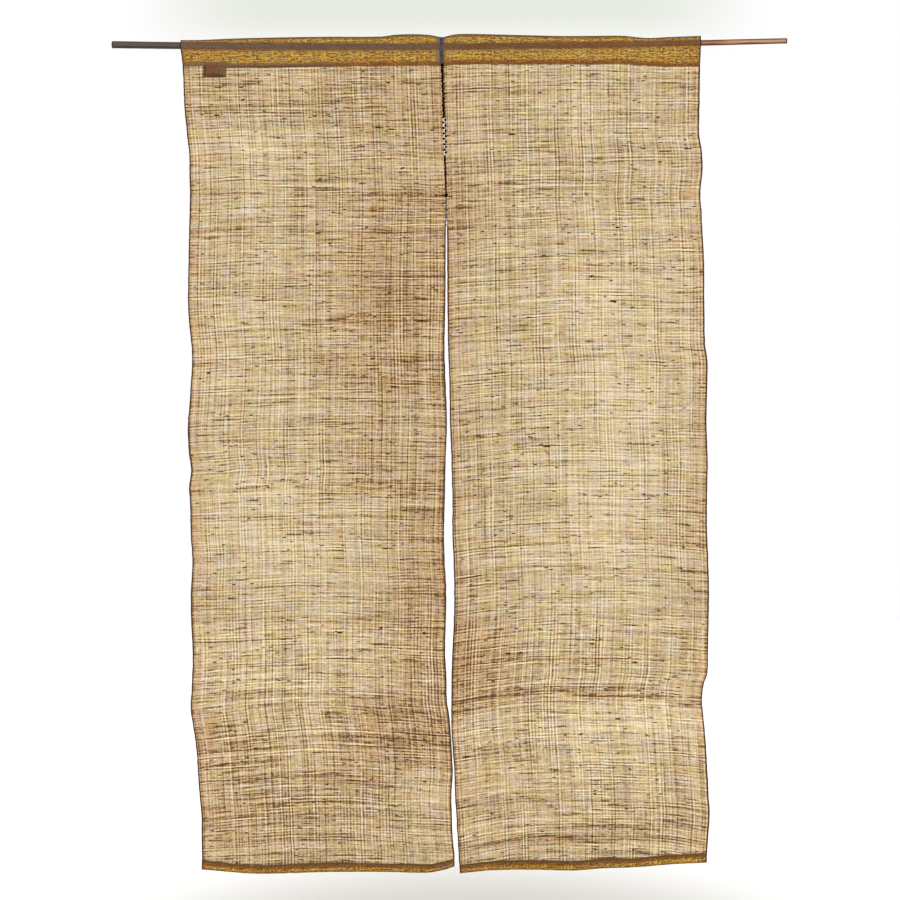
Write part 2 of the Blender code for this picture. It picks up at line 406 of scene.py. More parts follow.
class Number:
    """A number's socket in a material, with Python's operators as Math nodes."""

    def __init__(self, bench: "Bench", socket: bpy.types.NodeSocket) -> None:
        """Wrap a socket of the bench's tree."""
        self.bench = bench
        self.socket = socket

    def _math(self, operation: str, *values: "Feed") -> "Number":
        """The result of one Math node.

        Args:
            operation: Name of the Math node's operation.
            values: Its inputs in order.

        Returns:
            The node's result.
        """
        node = self.bench.add("ShaderNodeMath", {"operation": operation}, dict(enumerate(values)))
        return Number(self.bench, node.outputs[0])

    def __add__(self, other: "Feed") -> "Number":
        """This plus other."""
        return self._math("ADD", self, other)

    def __radd__(self, other: "Feed") -> "Number":
        """Other plus this."""
        return self._math("ADD", other, self)

    def __sub__(self, other: "Feed") -> "Number":
        """This minus other."""
        return self._math("SUBTRACT", self, other)

    def __rsub__(self, other: "Feed") -> "Number":
        """Other minus this."""
        return self._math("SUBTRACT", other, self)

    def __mul__(self, other: "Feed") -> "Number":
        """This times other."""
        return self._math("MULTIPLY", self, other)

    def __rmul__(self, other: "Feed") -> "Number":
        """Other times this."""
        return self._math("MULTIPLY", other, self)

    def __truediv__(self, other: "Feed") -> "Number":
        """This divided by other."""
        return self._math("DIVIDE", self, other)

    def floor(self) -> "Number":
        """The whole number below."""
        return self._math("FLOOR", self)

    def wave(self) -> "Number":
        """The sine of this many radians."""
        return self._math("SINE", self)

    def size(self) -> "Number":
        """The value without its sign."""
        return self._math("ABSOLUTE", self)

    def held(self, low: float, high: float) -> "Number":
        """The value kept between two limits."""
        return self._math("MINIMUM", self._math("MAXIMUM", self, low), high)

    def rise(self, start: float, end: float) -> "Number":
        """0 at start and 1 at end, smooth between.

        Args:
            start: Value that gives 0.
            end: Value that gives 1, above or below start.

        Returns:
            The share risen.
        """
        inputs = {"Value": self, "From Min": start, "From Max": end}
        node = self.bench.add("ShaderNodeMapRange", {"interpolation_type": "SMOOTHSTEP"}, inputs)
        return Number(self.bench, node.outputs[0])


Feed = Union[Number, bpy.types.NodeSocket, float, int, Sequence[float]]
Colour = tuple[float, float, float]


class Bench:
    """A material's or world's node tree, with one method that adds any node."""

    def __init__(self, tree: bpy.types.NodeTree) -> None:
        """Empty the tree."""
        self.tree = tree
        tree.nodes.clear()

    def feed(self, socket: bpy.types.NodeSocket, value: Feed) -> None:
        """Link a value into a socket, or set the socket to it.

        Args:
            socket: The input.
            value: A number, a colour, a socket or a wrapped socket.
        """
        if isinstance(value, Number):
            value = value.socket
        if isinstance(value, bpy.types.NodeSocket):
            self.tree.links.new(value, socket)
        elif socket.type == "RGBA":
            socket.default_value = (*value, 1.0)
        else:
            socket.default_value = value

    def add(self, kind: str, settings: dict | None = None, inputs: dict | None = None) -> bpy.types.Node:
        """Add a node.

        Args:
            kind: The node's type.
            settings: Its properties, which are set first.
            inputs: Values or links of its sockets, by name or by place.

        Returns:
            The node.
        """
        node = self.tree.nodes.new(kind)
        for name, value in (settings or {}).items():
            setattr(node, name, value)
        for key, value in (inputs or {}).items():
            self.feed(node.inputs[key], value)
        return node

    def number(self, socket: bpy.types.NodeSocket) -> Number:
        """A socket wrapped for arithmetic."""
        return Number(self, socket)

    def vector(self, x: Feed, y: Feed, z: Feed = 0.0) -> bpy.types.NodeSocket:
        """A vector's socket from three numbers."""
        return self.add("ShaderNodeCombineXYZ", None, {0: x, 1: y, 2: z}).outputs[0]

    def noise(self, x: Feed, y: Feed, detail: float = 0.0, fall: float = 0.55) -> Number:
        """Smooth noise on a plane, from about -1 to 1.

        Args:
            x: First coordinate, in noise cells.
            y: Second coordinate, in noise cells.
            detail: Number of finer layers.
            fall: Strength of each layer as a share of the one before.

        Returns:
            The noise.
        """
        inputs = {"Vector": self.vector(x, y), "Scale": 1.0, "Detail": detail, "Roughness": fall}
        node = self.add("ShaderNodeTexNoise", {"noise_dimensions": "2D"}, inputs)
        layers = [fall ** k for k in range(int(detail) + 1)]
        gain = 2.6 * sum(layers) / math.hypot(*layers)
        return (self.number(node.outputs["Fac"]) - 0.5) * gain

    def chance(self, x: Feed, y: Feed) -> Number:
        """Even random number from 0 to 1 for each pair of whole numbers."""
        inputs = {"Vector": self.vector(x, y)}
        node = self.add("ShaderNodeTexWhiteNoise", {"noise_dimensions": "2D"}, inputs)
        return self.number(node.outputs["Value"])

    def mix(self, share: Feed, first: Feed, second: Feed) -> bpy.types.NodeSocket:
        """Colour between two, by a share of the second."""
        node = self.add("ShaderNodeMix", {"data_type": "RGBA"}, {0: share, 6: first, 7: second})
        return node.outputs[2]

    def map_place(self) -> tuple[Number, Number]:
        """The weave map's two coordinates in millimetres: across the cloth and along it."""
        place = self.add("ShaderNodeUVMap", {"uv_map": WEAVE_MAP})
        parts = self.add("ShaderNodeSeparateXYZ", None, {0: place.outputs[0]})
        return self.number(parts.outputs[0]) * (1 / MM), self.number(parts.outputs[1]) * (1 / MM)

    def painted(self, name: str) -> Number:
        """A number painted on the mesh's points."""
        node = self.add("ShaderNodeAttribute", {"attribute_name": name})
        return self.number(node.outputs["Fac"])

    def finish(self, shader: bpy.types.NodeSocket) -> None:
        """Send a shader to the material's surface."""
        self.add("ShaderNodeOutputMaterial", None, {"Surface": shader})


def new_material(name: str) -> tuple[bpy.types.Material, Bench]:
    """An empty node material and its bench."""
    material = bpy.data.materials.new(name)
    material.use_nodes = True
    return material, Bench(material.node_tree)


@dataclass(frozen=True)
class HempCloth:
    """Loose handwoven hemp: threads of uneven shade with light passing between them."""

    dark: Colour = (0.110, 0.040, 0.001)
    black: Colour = (0.045, 0.014, 0.001)
    # Near black of the painted shade along the folded edges and the tag's edges.
    ink: Colour = (0.045, 0.026, 0.008)
    brown: Colour = (0.310, 0.190, 0.058)
    cream: Colour = (0.690, 0.570, 0.420)
    rust: Colour = (0.400, 0.140, 0.028)
    pink: Colour = (0.430, 0.180, 0.085)
    moss: Colour = (0.240, 0.215, 0.065)
    ash: Colour = (0.300, 0.230, 0.190)
    straw: Colour = (0.420, 0.270, 0.010)
    # Purple grey of the painted shade where the stick, the tag or turned-in cloth lie behind the cloth.
    mauve: Colour = (0.180, 0.110, 0.088)
    # Red brown of the moire streaks, and of the painted shade by the stick, the tag and the turned-in edges.
    russet: Colour = (0.185, 0.052, 0.018)
    amber: Colour = (0.520, 0.205, 0.026)
    layered_brown: Colour = (0.300, 0.165, 0.034)
    cool_through: Colour = (0.98, 0.86, 0.60)
    warm_through: Colour = (1.0, 0.785, 0.50)
    pale_through: Colour = (1.0, 0.84, 0.76)
    olive_through: Colour = (0.94, 0.86, 0.33)
    gold_through: Colour = (1.0, 0.84, 0.34)
    open_share: float = 0.388
    open_swing: float = 0.39
    weft_pitch: float = 1.42
    warp_pitch: float = 1.55
    weft_run: float = 300.0
    warp_run: float = 380.0
    weft_fall: float = 0.90
    warp_fall: float = 0.72
    weft_swing: float = 0.60
    warp_swing: float = 0.36
    weft_ground: float = 4.3
    warp_ground: float = 4.7
    weft_ground_swing: float = 0.27
    warp_ground_swing: float = 0.27
    slub_length: float = 5.2
    seed: float = 0.0

    def yarns(self, bench: Bench, across: Number, along: Number, pitch: float, run: float, fall: float,
              seed: float) -> tuple[Number, Number, Number]:
        """One family of parallel yarns.

        Args:
            bench: The material's bench.
            across: Coordinate that counts the yarns.
            along: Coordinate that follows them.
            pitch: Distance from yarn to yarn.
            run: Length over which a yarn keeps its main shade.
            fall: Strength of each finer change of shade as a share of the one before.
            seed: Number that sets this family apart.

        Returns:
            The yarn's shade from about -1 to 1, its roundness, 0 in the gaps and 1 on the yarn, and
            its whole number.
        """
        place = across / pitch + seed
        index = place.floor()
        shade = bench.noise(along / run, index * 7.31 + seed, 6.0, fall)
        return shade, ((place - index) * math.pi).wave(), index

    def shade(self, bench: Bench) -> tuple[Number, Number, Number]:
        """The weave's shade at a place.

        Args:
            bench: The material's bench.

        Returns:
            Shade from about -1, dark and dense, to 1, pale and open, then the rust share, then the
            share of black slub.
        """
        u, v = bench.map_place()
        stray = bench.noise(u / 26 + self.seed, v / 15, 1.0)
        weft_line = v + stray * 0.4
        warp_line = u + bench.noise(u / 60 + 9.0, v / 140 + self.seed) * 0.9
        weft, weft_round, index = self.yarns(bench, weft_line, u, self.weft_pitch, self.weft_run,
                                             self.weft_fall, self.seed + 3.0)
        warp, warp_round, _ = self.yarns(bench, warp_line, v, self.warp_pitch, self.warp_run,
                                         self.warp_fall, self.seed + 23.0)
        strand = bench.noise(u / 60 + 5.0, (weft_line / 1.9).floor() * 5.17 + self.seed, 2.0)
        grain = bench.noise(u / 4.4, v / 2.3 + self.seed)
        cloud = bench.noise(u / 120 + 71.0, v / 90 + self.seed, 1.0)
        loose = bench.noise(u / 90 + 61.0, v / 11 + self.seed, 1.0)
        rows = ((weft_line + cloud * 2.0) * (2 * math.pi / self.weft_ground)).wave() * (0.6 + loose * 1.7)
        tight = bench.noise(u / 9 + 41.0, v / 260 + self.seed, 1.0)
        lines = (warp_line * (2 * math.pi / self.warp_ground)).wave() * (0.6 + tight * 1.7)
        slub = bench.chance((u / self.slub_length + index * 0.37).floor(), index).rise(0.9926, 0.9936)
        band = bench.painted("band")
        rust = band * (0.45 - weft * 1.0 - strand * 0.3).held(0.05, 1.5)
        shade = weft * self.weft_swing + warp * self.warp_swing + cloud * 0.05
        shade = shade + rows * self.weft_ground_swing + lines * self.warp_ground_swing + grain * 0.20
        shade = shade - (0.0 - strand - 0.60).held(0.0, 1.0) * 1.9 + (strand - 0.72).held(0.0, 1.0) * 0.8
        shade = shade - (1.0 - weft_round) * (1.0 - warp_round) * 0.25 - slub * 1.6
        shade = shade - band * 0.14 - rust * 0.36 + bench.painted("tone")
        return shade, rust + band * 0.25, slub

    def build(self, name: str) -> bpy.types.Material:
        """Make the material.

        Args:
            name: The material's name.

        Returns:
            The material.
        """
        material, bench = new_material(name)
        shade, rust, slub = self.shade(bench)
        u, v = bench.map_place()
        tint = bench.noise(u / 46 + 51.0, v / 6.5 + self.seed, 2.0, 0.8)
        patch = bench.noise(u / 16 + 17.0, v / 24 + self.seed, 2.0, 0.7)
        fleck = bench.noise(u / 8 + 29.0, v / 4.5 + self.seed, 1.0)
        grey = bench.noise(u / 33 + 91.0, v / 19 + self.seed, 3.0, 0.8)
        layered = bench.painted("layered")
        mauve = bench.painted("mauve")
        russet = bench.painted("russet")
        rim = bench.painted("rim")
        warm = rust * 0.6 + bench.painted("orange")
        sway = bench.noise(u / 11 + 3.0, v / 7 + self.seed, 1.0)
        ripple = ((v + sway * 2.2) * (2 * math.pi / 3.9)).wave() + bench.noise(u / 5.0 + 13.0, v / 2.2) * 1.1
        moire = (ripple * 1.6 - 0.75).held(0.0, 1.0)
        glow = bench.noise(u / 24 + 23.0, v / 5.5 + self.seed, 1.0)
        plain = (1.0 - mauve) * layered
        # Painted shade: the cloth is darker and lets less light through where the stick, the tag or turned-in cloth lie
        # behind it, and along its folded edges.
        shade = shade * (1.0 - layered * 0.25 - mauve * 0.55) - bench.painted("dense")
        shade = shade + layered * 0.42 - mauve * 0.50 - russet * 0.55 - rim * 1.6 - moire * plain * 1.5
        body = bench.mix((tint * 0.55 + patch * 0.30).held(0.0, 0.8), self.brown, self.pink)
        body = bench.mix((0.0 - tint * 0.40 - patch * 0.45).held(0.0, 0.7), body, self.moss)
        body = bench.mix((grey * 0.5).held(0.0, 0.6), body, self.ash)
        body = bench.mix((0.0 - grey * 0.45).held(0.0, 0.6), body, self.straw)
        body = bench.mix((warm * 1.1).held(0.0, 0.85), body, self.rust)
        body = bench.mix(shade.rise(0.0, -1.0), body, self.dark)
        body = bench.mix(shade.rise(0.0, 1.15), body, self.cream)
        body = bench.mix(slub, body, self.black)
        body = bench.mix(layered * (0.75 - shade * 0.3).held(0.2, 1.0), body, self.layered_brown)
        body = bench.mix((glow * 1.3).held(0.0, 0.85) * plain, body, self.amber)
        body = bench.mix((moire * 1.5).held(0.0, 0.9) * plain, body, self.russet)
        # Painted shade colours: purple grey and red brown where the stick, the tag or turned-in cloth lie behind, near
        # black along the folded edges and the tag's edges.
        body = bench.mix(mauve, body, self.mauve)
        body = bench.mix(russet, body, self.russet)
        body = bench.mix(rim, body, self.ink)
        share = (shade * self.open_swing + self.open_share).held(0.03, 0.88)
        warmth = (tint * 0.35 + patch * 0.35 + fleck * 0.25 + warm + 0.42).held(0.0, 1.0)
        bump = bench.add("ShaderNodeBump", None, {"Strength": 0.35, "Distance": 0.0006, "Height": shade})
        fibre = bench.add("ShaderNodeBsdfPrincipled", None, {
            "Base Color": body, "Roughness": 0.92, "Specular IOR Level": 0.12, "Normal": bump.outputs[0],
        })
        cool = bench.add("ShaderNodeBsdfTransparent", None, {"Color": self.cool_through})
        hot = bench.add("ShaderNodeBsdfTransparent", None, {"Color": self.warm_through})
        gap = bench.add("ShaderNodeMixShader", None, {0: warmth, 1: cool.outputs[0], 2: hot.outputs[0]})
        pale = bench.add("ShaderNodeBsdfTransparent", None, {"Color": self.pale_through})
        gap = bench.add("ShaderNodeMixShader", None, {
            0: (grey * 0.44).held(0.0, 0.7), 1: gap.outputs[0], 2: pale.outputs[0],
        })
        olive = bench.add("ShaderNodeBsdfTransparent", None, {"Color": self.olive_through})
        gap = bench.add("ShaderNodeMixShader", None, {
            0: (0.0 - grey * 0.38).held(0.0, 0.7), 1: gap.outputs[0], 2: olive.outputs[0],
        })
        gold = bench.add("ShaderNodeBsdfTransparent", None, {"Color": self.gold_through})
        opening = bench.add("ShaderNodeMixShader", None, {0: layered, 1: gap.outputs[0], 2: gold.outputs[0]})
        cloth = bench.add("ShaderNodeMixShader", None, {0: share, 1: fibre.outputs[0], 2: opening.outputs[0]})
        clear = bench.add("ShaderNodeBsdfTransparent", None, {"Color": (1.0, 1.0, 1.0)})
        inner = bench.add("ShaderNodeNewGeometry").outputs["Backfacing"]
        both = bench.add("ShaderNodeMixShader", None, {0: inner, 1: cloth.outputs[0], 2: clear.outputs[0]})
        bench.finish(both.outputs[0])
        material.use_backface_culling = True
        return material


@dataclass(frozen=True)
class SpunThread:
    """A twisted thread of one colour, with painted shade darker between its plies."""

    colour: Colour
    groove: Colour
    twist: float = 2.2
    roughness: float = 0.85
    gloss: float = 0.2

    def build(self, name: str) -> bpy.types.Material:
        """Make the material.

        Args:
            name: The material's name.

        Returns:
            The material.
        """
        material, bench = new_material(name)
        around, along = bench.map_place()
        # Painted shade: the groove colour darkens the thread between its plies, and also comes and goes at random along
        # it.
        ply = ((along / self.twist + around * MM) * (2 * math.pi)).wave()
        uneven = bench.noise(along / 9.0, around * MM * 2.0 + 3.0, 1.0)
        share = (ply * 0.30 + uneven * 0.45 + 0.5).held(0.0, 1.0)
        bump = bench.add("ShaderNodeBump", None, {"Strength": 0.6, "Distance": 0.0003, "Height": ply})
        shader = bench.add("ShaderNodeBsdfPrincipled", None, {
            "Base Color": bench.mix(share, self.groove, self.colour),
            "Roughness": self.roughness, "Specular IOR Level": self.gloss, "Normal": bump.outputs[0],
        })
        bench.finish(shader.outputs[0])
        return material


@dataclass(frozen=True)
class TagCloth:
    """Plain dense brown tape."""

    colour: Colour = (0.105, 0.058, 0.040)
    shade: Colour = (0.050, 0.026, 0.018)
    pitch: float = 0.8

    def build(self, name: str) -> bpy.types.Material:
        """Make the material.

        Args:
            name: The material's name.

        Returns:
            The material.
        """
        material, bench = new_material(name)
        u, v = bench.map_place()
        ribs = (v * (2 * math.pi / self.pitch)).wave() * (u * (2 * math.pi / self.pitch)).wave()
        cloud = bench.noise(u / 6.0, v / 4.0, 2.0)
        share = (ribs * 0.30 + cloud * 0.35 + 0.6).held(0.0, 1.0)
        bump = bench.add("ShaderNodeBump", None, {"Strength": 0.5, "Distance": 0.0003, "Height": ribs})
        shader = bench.add("ShaderNodeBsdfPrincipled", None, {
            "Base Color": bench.mix(share, self.shade, self.colour),
            "Roughness": 0.85, "Specular IOR Level": 0.2, "Normal": bump.outputs[0],
        })
        bench.finish(shader.outputs[0])
        return material


@dataclass(frozen=True)
class StickWood:
    """A smoked stick: grey olive at its thick end, copper brown at its thin end."""

    olive: Colour = (0.086, 0.066, 0.040)
    smoke: Colour = (0.034, 0.024, 0.026)
    copper: Colour = (0.470, 0.150, 0.038)
    streak: Colour = (0.640, 0.340, 0.180)
    shadow: Colour = (0.022, 0.014, 0.010)
    # Painted shade on the top and underside of the copper end.
    rind: Colour = (0.060, 0.015, 0.004)

    def build(self, name: str) -> bpy.types.Material:
        """Make the material.

        Args:
            name: The material's name.

        Returns:
            The material.
        """
        material, bench = new_material(name)
        around, along = bench.map_place()
        turn = around * MM
        grain = bench.noise(along / 55.0, turn * 9.0, 3.0)
        lines = bench.noise(along / 140.0 + 5.0, turn * 16.0, 1.0)
        cloud = bench.noise(along / 38.0 + 11.0, turn * 1.2, 2.0)
        copper_share = (along + cloud * 40.0).rise(120.0, 370.0)
        bare = (along + cloud * 12.0).rise(385.0, 405.0)
        body = bench.mix((along + cloud * 20.0).rise(-380.0, -340.0), self.olive, self.smoke)
        body = bench.mix(copper_share, body, self.copper)
        body = bench.mix((grain * 0.5 + 0.15).held(0.0, 0.6) * copper_share, body, self.streak)
        body = bench.mix(bare * 0.6, body, self.streak)
        body = bench.mix((lines * 0.9 - 0.1).held(0.0, 0.75), body, self.shadow)
        # Painted shade: the top and the underside of the stick are darker, as a round is shaded towards its sides.
        sides = (turn * (2 * math.pi)).wave() + bench.noise(along / 30.0 + 7.0, turn * 3.0) * 0.12
        upper = sides.rise(0.16, 0.62) * (copper_share * 0.6 + 0.35)
        under = (0.0 - sides).rise(0.26, 0.66) * 0.95
        body = bench.mix(upper, body, bench.mix(copper_share, self.shadow, self.rind))
        body = bench.mix(under, body, bench.mix(copper_share, self.shadow, self.rind))
        ends = (along * along).rise((LENGTH_HALF - 2.6) ** 2, (LENGTH_HALF - 1.4) ** 2)
        body = bench.mix(ends * 0.9, body, self.shadow)
        bump = bench.add("ShaderNodeBump", None, {"Strength": 0.35, "Distance": 0.0004, "Height": grain + lines})
        shader = bench.add("ShaderNodeBsdfPrincipled", None, {
            "Base Color": body, "Roughness": (grain * 0.1 + 0.5).held(0.3, 0.7),
            "Specular IOR Level": 0.35, "Normal": bump.outputs[0],
        })
        bench.finish(shader.outputs[0])
        return material


class Side(Enum):
    """Which side of the cloth something lies on."""

    FRONT = -1
    BACK = 1


def link(obj: bpy.types.Object) -> bpy.types.Object:
    """Put an object in the scene."""
    bpy.context.scene.collection.objects.link(obj)
    return obj


class TubeBundle:
    """Round threads collected into one mesh, with the weave map following each."""

    def __init__(self, name: str, sides: int = 6) -> None:
        """Start an empty bundle.

        Args:
            name: Name of the piece.
            sides: Faces round each thread.
        """
        self.name = name
        self.sides = sides
        self.points: list[Vector] = []
        self.faces: list[tuple[int, ...]] = []
        self.map: list[list[tuple[float, float]]] = []

    def add(self, line: Sequence[Vector], radii: Sequence[float], up: Vector) -> None:
        """Add one closed round thread.

        Args:
            line: Its middle line, in metres.
            radii: Its radius at each point, in metres.
            up: A direction that the line never follows.
        """
        first = len(self.points)
        count = len(line)
        travelled = 0.0
        rings = []
        for k, point in enumerate(line):
            ahead = line[min(k + 1, count - 1)] - line[max(k - 1, 0)]
            side = ahead.cross(up).normalized()
            top = side.cross(ahead).normalized()
            if k:
                travelled += (point - line[k - 1]).length
            rings.append(travelled)
            for s in range(self.sides):
                angle = 2 * math.pi * s / self.sides
                self.points.append(point + radii[k] * (math.cos(angle) * side + math.sin(angle) * top))
        for k in range(count - 1):
            for s in range(self.sides):
                t = (s + 1) % self.sides
                low, high = first + k * self.sides, first + (k + 1) * self.sides
                self.faces.append((low + s, low + t, high + t, high + s))
                a, b = s / self.sides, (s + 1) / self.sides
                self.map.append([(a, rings[k]), (b, rings[k]), (b, rings[k + 1]), (a, rings[k + 1])])
        for ring, order in ((0, -1), (count - 1, 1)):
            corners = [first + ring * self.sides + s for s in range(self.sides)][::order]
            self.faces.append(tuple(corners))
            self.map.append([(0.5, rings[ring])] * self.sides)

    def build(self, material: bpy.types.Material) -> bpy.types.Object:
        """Make the piece.

        Args:
            material: Finish of every thread.

        Returns:
            The new object.
        """
        mesh = bpy.data.meshes.new(self.name)
        mesh.from_pydata(self.points, [], self.faces)
        layer = mesh.uv_layers.new(name=WEAVE_MAP)
        layer.data.foreach_set("uv", [n for corners in self.map for pair in corners for n in pair])
        mesh.materials.append(material)
        mesh.shade_smooth()
        mesh.update()
        return link(bpy.data.objects.new(self.name, mesh))


@dataclass
class Stick:
    """The thin tapered round stick that both casings hang on."""

    length: float = 972.0
    left_radius: float = 5.3
    right_radius: float = 4.0
    bow: float = 5.3
    level_end: float = 8.0
    chamfer: float = 0.45
    rings: int = 150
    sides: int = 28
    finish: StickWood = StickWood()

    def radius(self, x: float) -> float:
        """Radius at x, without the wood's small swellings."""
        return self.left_radius + (x / self.length + 0.5) * (self.right_radius - self.left_radius)

    def height(self, x: float) -> float:
        """Height of the axis at x."""
        inner = self.length / 2 - self.level_end
        held = max(-inner, min(inner, x))
        return self.bow * (2 * held / self.length) ** 2

    def build(self) -> bpy.types.Object:
        """Make the stick.

        Returns:
            The new object.
        """
        half = self.length / 2
        places = [-half, -half] + [
            -half + self.chamfer + (self.length - 2 * self.chamfer) * k / self.rings for k in range(self.rings + 1)
        ] + [half, half]
        shares = [0.0, 1 - self.chamfer / self.left_radius] + [1.0] * (self.rings + 1)
        shares += [1 - self.chamfer / self.right_radius, 0.0]
        points, faces, corners = [], [], []
        for x, share in zip(places, shares):
            for s in range(self.sides):
                angle = 2 * math.pi * s / self.sides
                swelling = 0.10 * wander(x / 42, math.cos(angle), 4.0) + 0.07 * wander(x / 9, math.sin(angle) * 2, 8.0)
                r = (self.radius(x) - 0.12 + swelling) * share
                points.append(Vector((x, -r * math.cos(angle), self.height(x) + r * math.sin(angle))) * MM)
        for k in range(len(places) - 1):
            for s in range(self.sides):
                t = (s + 1) % self.sides
                low, high = k * self.sides, (k + 1) * self.sides
                faces.append((low + s, low + t, high + t, high + s))
                a, b = s / self.sides, (s + 1) / self.sides
                near, far = places[k] * MM, places[k + 1] * MM
                corners.append([(a, near), (b, near), (b, far), (a, far)])
        mesh = bpy.data.meshes.new("stick")
        mesh.from_pydata(points, [], faces)
        layer = mesh.uv_layers.new(name=WEAVE_MAP)
        layer.data.foreach_set("uv", [n for face in corners for pair in face for n in pair])
        self.close_ends(mesh)
        mesh.materials.append(self.finish.build("stick_wood"))
        mesh.shade_smooth()
        mesh.set_sharp_from_angle(angle=math.radians(50))
        return link(bpy.data.objects.new("stick", mesh))

    def close_ends(self, mesh: bpy.types.Mesh) -> None:
        """Merge the two rings of no radius into end points."""
        bm = bmesh.new()
        bm.from_mesh(mesh)
        bmesh.ops.remove_doubles(bm, verts=bm.verts, dist=1e-6)
        bmesh.ops.recalc_face_normals(bm, faces=bm.faces)
        bm.to_mesh(mesh)
        bm.free()


class ClothPoint(NamedTuple):
    """A point of a lengthwise line of cloth, before the folds, and its place along the cloth."""

    y: float
    z: float
    along: float


@dataclass
class ClothPanel:
    """One length of cloth with its casing and its hem, its selvedges, thick wefts and sewing."""

    name: str
    left_edge: str
    right_edge: str
    across: SmoothTable
    folds: Sequence[Fold]
    droops: SmoothTable
    bands: Sequence[Band]
    tones: Sequence[Tone]
    heavy: Sequence[HeavyWeft]
    flat_width: float
    flat_length: float
    joined_part: float
    seed: float
    stick: Stick
    finish: HempCloth
    dark_thread: bpy.types.Material
    weft_thread: bpy.types.Material
    sheet: float = 0.5
    step: float = 0.75
    turn_under: float = 6.0
    fit_gap: float = 0.3
    columns: int = 96
    body_rows: int = 290
    fold_fade: float = 70.0
    joined_foot: float = 256.0
    mauve_fade: float = -120.0
    join_x: float = -13.0
    tag_middle: float = -338.0
    tag_width: float = 0.0
    tag_foot: float = 41.5
    tag_shade: float = 0.43
    slub_count: int = 130
    dice: random.Random = field(init=False)

    def __post_init__(self) -> None:
        """Seed the panel's own random numbers."""
        self.dice = random.Random(self.name)

    def width(self, drop: float) -> float:
        """Width of the hanging panel at a drop."""
        return OUTLINE.read(self.right_edge, drop) - OUTLINE.read(self.left_edge, drop)

    def edge_distance(self, part: float) -> float:
        """Distance from the nearer selvedge."""
        return min(part, 1 - part) * self.flat_width

    def side_x(self, part: float, drop: float) -> float:
        """World x at a part of the width, with the selvedges' small unevenness."""
        left, right = OUTLINE.read(self.left_edge, drop), OUTLINE.read(self.right_edge, drop)
        uneven = 0.45 * wander(drop / 13, 3.0 * round(part), self.seed) + 0.25 * wander(drop / 4.5, part, self.seed + 5)
        return left + part * (right - left) + uneven * math.exp(-self.edge_distance(part) / 12)

    def fold_depth(self, part: float, drop: float) -> float:
        """World y that folds and puckers add; the front is negative.

        Args:
            part: Part of the width.
            drop: Distance below the stick's axis.

        Returns:
            The shift along y.
        """
        depth = 0.0
        for fold in self.folds:
            across = math.exp(-(((part - fold.middle) / fold.spread) ** 2) / 2)
            grown = smoothstep(drop, fold.top, self.fold_fade)
            gone = smoothstep(drop, fold.foot - self.fold_fade, self.fold_fade)
            depth += fold.depth * across * grown * (1 - gone)
        loose = smoothstep(drop, 20.0, 40.0)
        u = part * self.flat_width
        pucker = 0.9 * wander(u / 48, drop / 70, self.seed) + 0.35 * wander(u / 15, drop / 19, self.seed + 2)
        edge = 0.5 * math.sin(drop / 6.1 + 2.0 * wander(drop / 30, 0.0, self.seed))
        pucker += edge * math.exp(-self.edge_distance(part) / 7) * smoothstep(drop, 26.0, 20.0)
        return -depth + pucker * loose * 0.8

    def droop(self, part: float, drop: float) -> float:
        """How much lower a weft lies here than in the panel's middle."""
        side = "left" if part < 0.5 else "right"
        bend = abs(2 * part - 1) ** 2.1 * self.droops.read(side, drop)
        u = part * self.flat_width
        return bend + 0.9 * wander(u / 95, drop / 120, self.seed + 7) + 0.3 * wander(u / 33, drop / 40, self.seed + 9)

    def arc(self, y: float, z: float, radius: float, start: float, end: float, steps: int) -> list[tuple]:
        """Points (y, z) on a round fold, angles in degrees from +Y towards +Z."""
        angles = [math.radians(start + (end - start) * k / steps) for k in range(steps + 1)]
        return [(y + radius * math.cos(a), z + radius * math.sin(a)) for a in angles]

    def straight(self, start: tuple, end: tuple, steps: int) -> list[tuple]:
        """Points between two places, both ends left out."""
        shares = [k / steps for k in range(1, steps)]
        return [(start[0] + t * (end[0] - start[0]), start[1] + t * (end[1] - start[1])) for t in shares]

    def hem_line(self, foot_z: float, depth: float) -> list[tuple]:
        """Hem from its raw edge: up inside, over, down the back and round the foot to the front."""
        half = self.step / 2
        fold_z = foot_z + depth - self.sheet / 2 - half
        round_z = foot_z + self.sheet / 2 + self.step
        raw = (0.0, foot_z + depth - self.turn_under)
        over = self.arc(half, fold_z, half, 180, 0, 5)
        under = self.arc(0.0, round_z, self.step, 0, -180, 6)
        return [raw, *self.straight(raw, over[0], 3), *over, *self.straight(over[-1], under[0], 5), *under]

    def casing_line(self, x: float, top_z: float, foot_z: float) -> list[tuple]:
        """Heading from its front foot: round the stick, over the top, down the back, turned under.

        Args:
            x: World x of the line.
            top_z: Height of the heading's top.
            foot_z: Height of its lower edge.

        Returns:
            Points (y, z).
        """
        half = self.step / 2
        radius = self.stick.radius(x) + self.fit_gap + self.sheet / 2
        axis_z = self.stick.height(x)
        fold_z = top_z - self.sheet / 2 - half
        lower = math.degrees(self.touch_angle(radius, self.step, axis_z - foot_z))
        upper = math.degrees(self.touch_angle(radius, half, fold_z - axis_z))
        foot = (-self.step, foot_z)
        front = self.arc(0.0, axis_z, radius, 180 + lower, 180 - upper, 9)
        top = self.arc(0.0, fold_z, half, 180, 0, 5)
        back = self.arc(0.0, axis_z, radius, upper, -lower, 9)
        turn = self.arc(half, foot_z + self.sheet / 2 + half, half, 0, -180, 5)
        raw = (0.0, foot_z + self.turn_under)
        line = [foot, *self.straight(foot, front[0], 12), *front, *self.straight(front[-1], top[0], 4), *top]
        line += [*self.straight(top[-1], back[0], 4), *back, *self.straight(back[-1], turn[0], 7), *turn]
        return [*line, *self.straight(turn[-1], raw, 3), raw]

    def touch_angle(self, radius: float, out: float, away: float) -> float:
        """Angle from level at which a line from a point (out, away) meets the round."""
        return math.atan2(away, out) - math.acos(radius / math.hypot(out, away))

